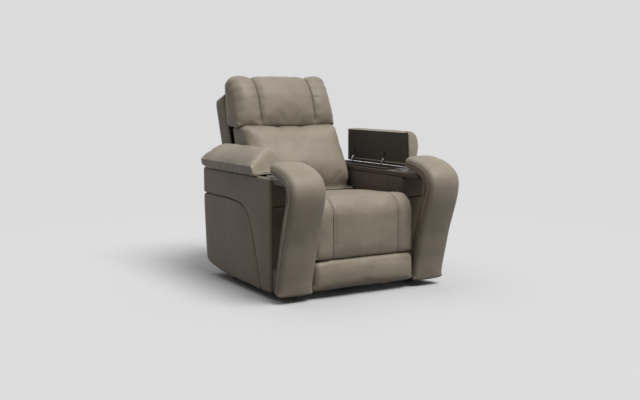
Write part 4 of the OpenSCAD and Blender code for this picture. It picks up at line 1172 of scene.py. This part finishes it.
for side in sides:
    topZ = boxSides("arm_top_" + side)[1][2]
    makeFrontPad(side)
    makePanel(side, "armBand", "arm_band", bandLook, topAt=topZ - 0.0005)
    makePanel(side, "armSide", "arm_side_panel", sideLook)
    makePanel(side, "armInner", "arm_inner_panel", flatLook, inward=True, material=deepShadeLeather)
    makeFrontPanels(side, flatLook)
    makeRearPanel(side)
    makeArmTop(side, topZ)
print("arms done")


# Lids: sections across, along the length of each

lidLook = dict(
    length=0.634, height=0.122, under=0.592, front=-0.130, inner=0.297, outer=0.489, crease=0.33, step=0.016,
    band=[(0.875, 0.0), (0.89, -0.045), (0.925, -0.065), (0.96, -0.045), (0.978, 0.08), (0.996, 0.29),
          (1.0, 0.33)],
    crown=[(1.0, 0.33), (0.985, 0.355), (0.90, 0.49), (0.80, 0.63), (0.68, 0.77), (0.54, 0.90), (0.40, 0.98),
           (0.27, 0.995), (0.14, 0.94), (0.055, 0.82), (0.012, 0.62), (0.0, 0.36), (0.006, 0.14),
           (0.03, 0.0)],
    lip=0.04, slope=24.0, skew=0.24, sweep=0.012, sweepRun=0.2, rearLip=0.46, rearSlope=13.0, blend=0.08,
    inset=[(0, 0.010), (0.02, 0.003), (0.05, 0.0), (0.90, 0.0), (0.96, 0.004), (1, 0.02)],
    rise=[(0, 0.0), (0.90, 0.0), (0.95, 0.02), (1, 0.12)],
    spare=0.008, cap=0.007, swell=(0.0025, 0.12, 41),
)


def softLeast(a, b, blend):
    # the smaller of two heights, with a soft crease where they meet
    h = min(max(0.5 + 0.5 * (b - a) / blend, 0.0), 1.0)
    return b * (1 - h) + a * h - blend * h * (1 - h)


def lidSection(look):
    # across the lid: the band at its outer side, a hard crease, then the crown
    top = np.concatenate([curveThrough(look["band"], 0.075)[:-1], curveThrough(look["crown"], 0.075)])
    crease = look["crease"]
    top = np.insert(top, int(np.argmax(top[:, 0])), (0.9985, crease - 0.02), axis=0)
    return np.insert(top, int(np.argmax(top[:, 0])) + 1, (0.992, crease + 0.014), axis=0)


def lidRing(look, top, share, columns):
    # the section at a share of the length, cut down by the front and rear slopes and closed underneath
    wide = look["outer"] - look["inner"]
    inset = float(np.interp(share, *zip(*look["inset"])))
    rise = float(np.interp(share, *zip(*look["rise"])))
    back = look["rearLip"] + look["rearSlope"] * (1 - share) * look["length"]
    ring = []
    for s, t in top:
        ahead = look["lip"] + look["slope"] * (share * look["length"] - look["skew"] * wide * (1 - s))
        limit = softLeast(max(ahead, look["lip"]), back, 0.1)
        tall = max(softLeast(t, limit, look["blend"]), 0.0) if t > 0.02 else t
        if rise > 0:
            tall = max(tall, rise * (1 - min(max(t, 0.0) / 0.3, 1.0)))
        swept = look["sweep"] * (1 - s) ** 1.4 * max(0.0, 1 - share / look["sweepRun"])
        ring.append((look["inner"] + wide * (inset + s * (1 - 2 * inset)),
                     look["front"] + share * look["length"] + swept, look["under"] + tall * look["height"]))
    a, b = np.array(ring[-1]), np.array(ring[0])
    return ring + [tuple(a * (1 - c / columns) + b * c / columns) for c in range(1, columns)]


def makeLid(side):
    look = lidLook
    sign = sides[side]
    count = int(look["length"] / look["step"])
    shares = [0, 0.006, 0.014] + [k / count for k in range(1, count)] + [0.985, 1]
    top = lidSection(look)
    points = [p for share in shares for p in lidRing(look, top, share, 12)]
    rows = len(shares)
    n = len(points) // rows
    faces = tubeFaces(n, rows)
    # each end closes in a small gusset of rings that shrink to its middle
    for row in (0, rows - 1):
        ring = [row * n + i for i in range(n)]
        middle = np.mean([points[k] for k in ring], axis=0)
        for share in (0.7, 0.4):
            start = len(points)
            points += [tuple(middle + (np.array(points[row * n + i]) - middle) * share) for i in range(n)]
            inner = [start + i for i in range(n)]
            faces += [(ring[i], inner[i], inner[(i + 1) % n], ring[(i + 1) % n]) for i in range(n)]
            ring = inner
        points.append(tuple(middle))
        faces += [(ring[i], len(points) - 1, ring[(i + 1) % n]) for i in range(n)]
    points = [(sign * p[0], p[1], p[2]) for p in points]
    piece = newPiece("lidPad" + side.capitalize(), points, faces, softLeather)

    def held(p, normal):
        if normal.z < 0.1 and abs(p.x) < 0.475 or p.z < look["under"] + 0.004:
            return 1.0
        offCrease = abs(p.z - look["under"] - look["crease"] * look["height"])
        return 0.9 if offCrease < 0.006 and abs(p.x) > 0.47 else 0.0
    filled(piece, look, held, lambda p: smoothStep(0.60, 0.63, p.z), shift=sign)
    piece.data.materials.append(binLining)
    for polygon in piece.data.polygons:
        if polygon.normal.z < -0.9 and polygon.center.z < look["under"] + 0.004:
            polygon.material_index = 1
    if side == "right":
        axis = Matrix.Translation(Vector(joints["lid_right_hinge"]["pos_m"]))
        piece.data.transform(axis @ Matrix.Rotation(math.radians(90), 4, "Y") @ axis.inverted())
    dressed(piece, "lid_" + side, "leather", "lid_pad_" + side, fill=0.85)


for side in sides:
    makeLid(side)
print("lids done")


# Hard parts keep their CAD shape, with eased edges

edgeWidths = dict(lid_hinges=0.0006, lid_leaves=0.0005, cup_holder=0.0007, switch_plate=0.0008, button=0.0012,
                  footrest_arms=0.001, base_rails=0.0015, lid_board=0.002, control_box=0.002,
                  foot_actuator=0.002, back_actuator=0.002)
for name, node in nodes.items():
    for start, width in edgeWidths.items():
        if name.startswith(start):
            modified(node, "BEVEL", width=width, segments=2, limit_method="ANGLE")


# Floor, backdrop and light

stageLook = dict(
    dark=(104, 102, 98),  # what the floor throws back onto the chair
    light=(205, 206, 209),  # what is seen of it
    back=(219, 219, 220), size=9.0, sides=64, fadeFrom=1.9, fadeTo=3.6,
)
worldLook = dict(light=0.19, tint=(1.0, 0.985, 0.96, 1))
lampLook = dict(keyLamp=((0.20, -0.48, 0.86), 34, 2.85, (1.0, 0.985, 0.955)),
                topLamp=((-0.06, 0.34, 0.94), 60, 0.75, (1.0, 0.99, 0.97)))
cameraLook = dict(place=(-2.4084, -4.0108, 1.0016), yaw=30.642, pitch=6.997, focal=899.14, frameWide=640)


def seenDirectly(tree):
    # 1 where the camera, a gloss or a clear surface looks, 0 for light that lands on surfaces
    path = addNode(tree, "LightPath").outputs
    seen = combined(tree, "MAXIMUM", path["Is Camera Ray"], path["Is Glossy Ray"])
    return combined(tree, "MAXIMUM", seen, path["Is Transmission Ray"])


def mixedShaders(tree, share, first, second, output):
    mix = addNode(tree, "MixShader")
    for source, socket in zip((share, first, second), mix.inputs):
        tree.links.new(source, socket)
    tree.links.new(mix.outputs[0], tree.nodes[output].inputs["Surface"])


def makeStage():
    look = stageLook
    around = look["sides"]
    turns = [2 * math.pi * k / around for k in range(around)]
    points = [(0, 0, 0)] + [(look["size"] * math.cos(t), look["size"] * math.sin(t), 0) for t in turns]
    faces = [(0, k + 1, (k + 1) % around + 1) for k in range(around)]
    material, tree, inputs, place = newFinish("paleFloor")
    tree.links.new(twoTone(tree, seenDirectly(tree), look), inputs["Base Color"])
    inputs["Roughness"].default_value = 0.9
    inputs["Specular IOR Level"].default_value = 0.1
    # far from the chair the floor turns into the backdrop's own grey
    away = addNode(tree, "VectorMath", operation="LENGTH")
    tree.links.new(place, away.inputs[0])
    fade = remapped(tree, away.outputs["Value"], look["fadeFrom"], look["fadeTo"], 0, 1,
                    interpolation_type="SMOOTHSTEP")
    glow = addNode(tree, "Emission", Color=(*linear(look["back"]), 1))
    mixedShaders(tree, combined(tree, "MULTIPLY", fade, seenDirectly(tree)),
                 tree.nodes["Principled BSDF"].outputs[0], glow.outputs[0], "Material Output")
    newPiece("studioFloor", points, faces, material)


def makeWorld():
    world = bpy.data.worlds.new("softRoom")
    bpy.context.scene.world = world
    world.use_nodes = True
    tree = world.node_tree
    light = tree.nodes["Background"]
    light.inputs["Color"].default_value = worldLook["tint"]
    light.inputs["Strength"].default_value = worldLook["light"]
    back = addNode(tree, "Background", Color=(*linear(stageLook["back"]), 1))
    mixedShaders(tree, seenDirectly(tree), light.outputs[0], back.outputs[0], "World Output")


def placedObject(name, data):
    thing = bpy.data.objects.new(name, data)
    bpy.context.scene.collection.objects.link(thing)
    return thing


def sunLamp(name, towards, angle, strength, colour):
    data = bpy.data.lights.new(name, "SUN")
    setAll(data, energy=strength, angle=math.radians(angle), color=colour)
    setAll(placedObject(name, data), location=Vector(towards) * 4,
           rotation_euler=Vector(towards).to_track_quat("Z", "Y").to_euler())


def makeCamera():
    look = cameraLook
    data = bpy.data.cameras.new("photoCamera")
    setAll(data, sensor_width=36, lens=look["focal"] * 36 / look["frameWide"], clip_end=60)
    camera = placedObject("photoCamera", data)
    camera.location = look["place"]
    camera.rotation_euler = (math.radians(90 - look["pitch"]), 0, math.radians(-look["yaw"]))
    bpy.context.scene.camera = camera


makeStage()
makeWorld()
for name, values in lampLook.items():
    sunLamp(name, *values)
makeCamera()
bpy.context.scene.view_settings.view_transform = "Standard"
print("stage, lamps and camera done")
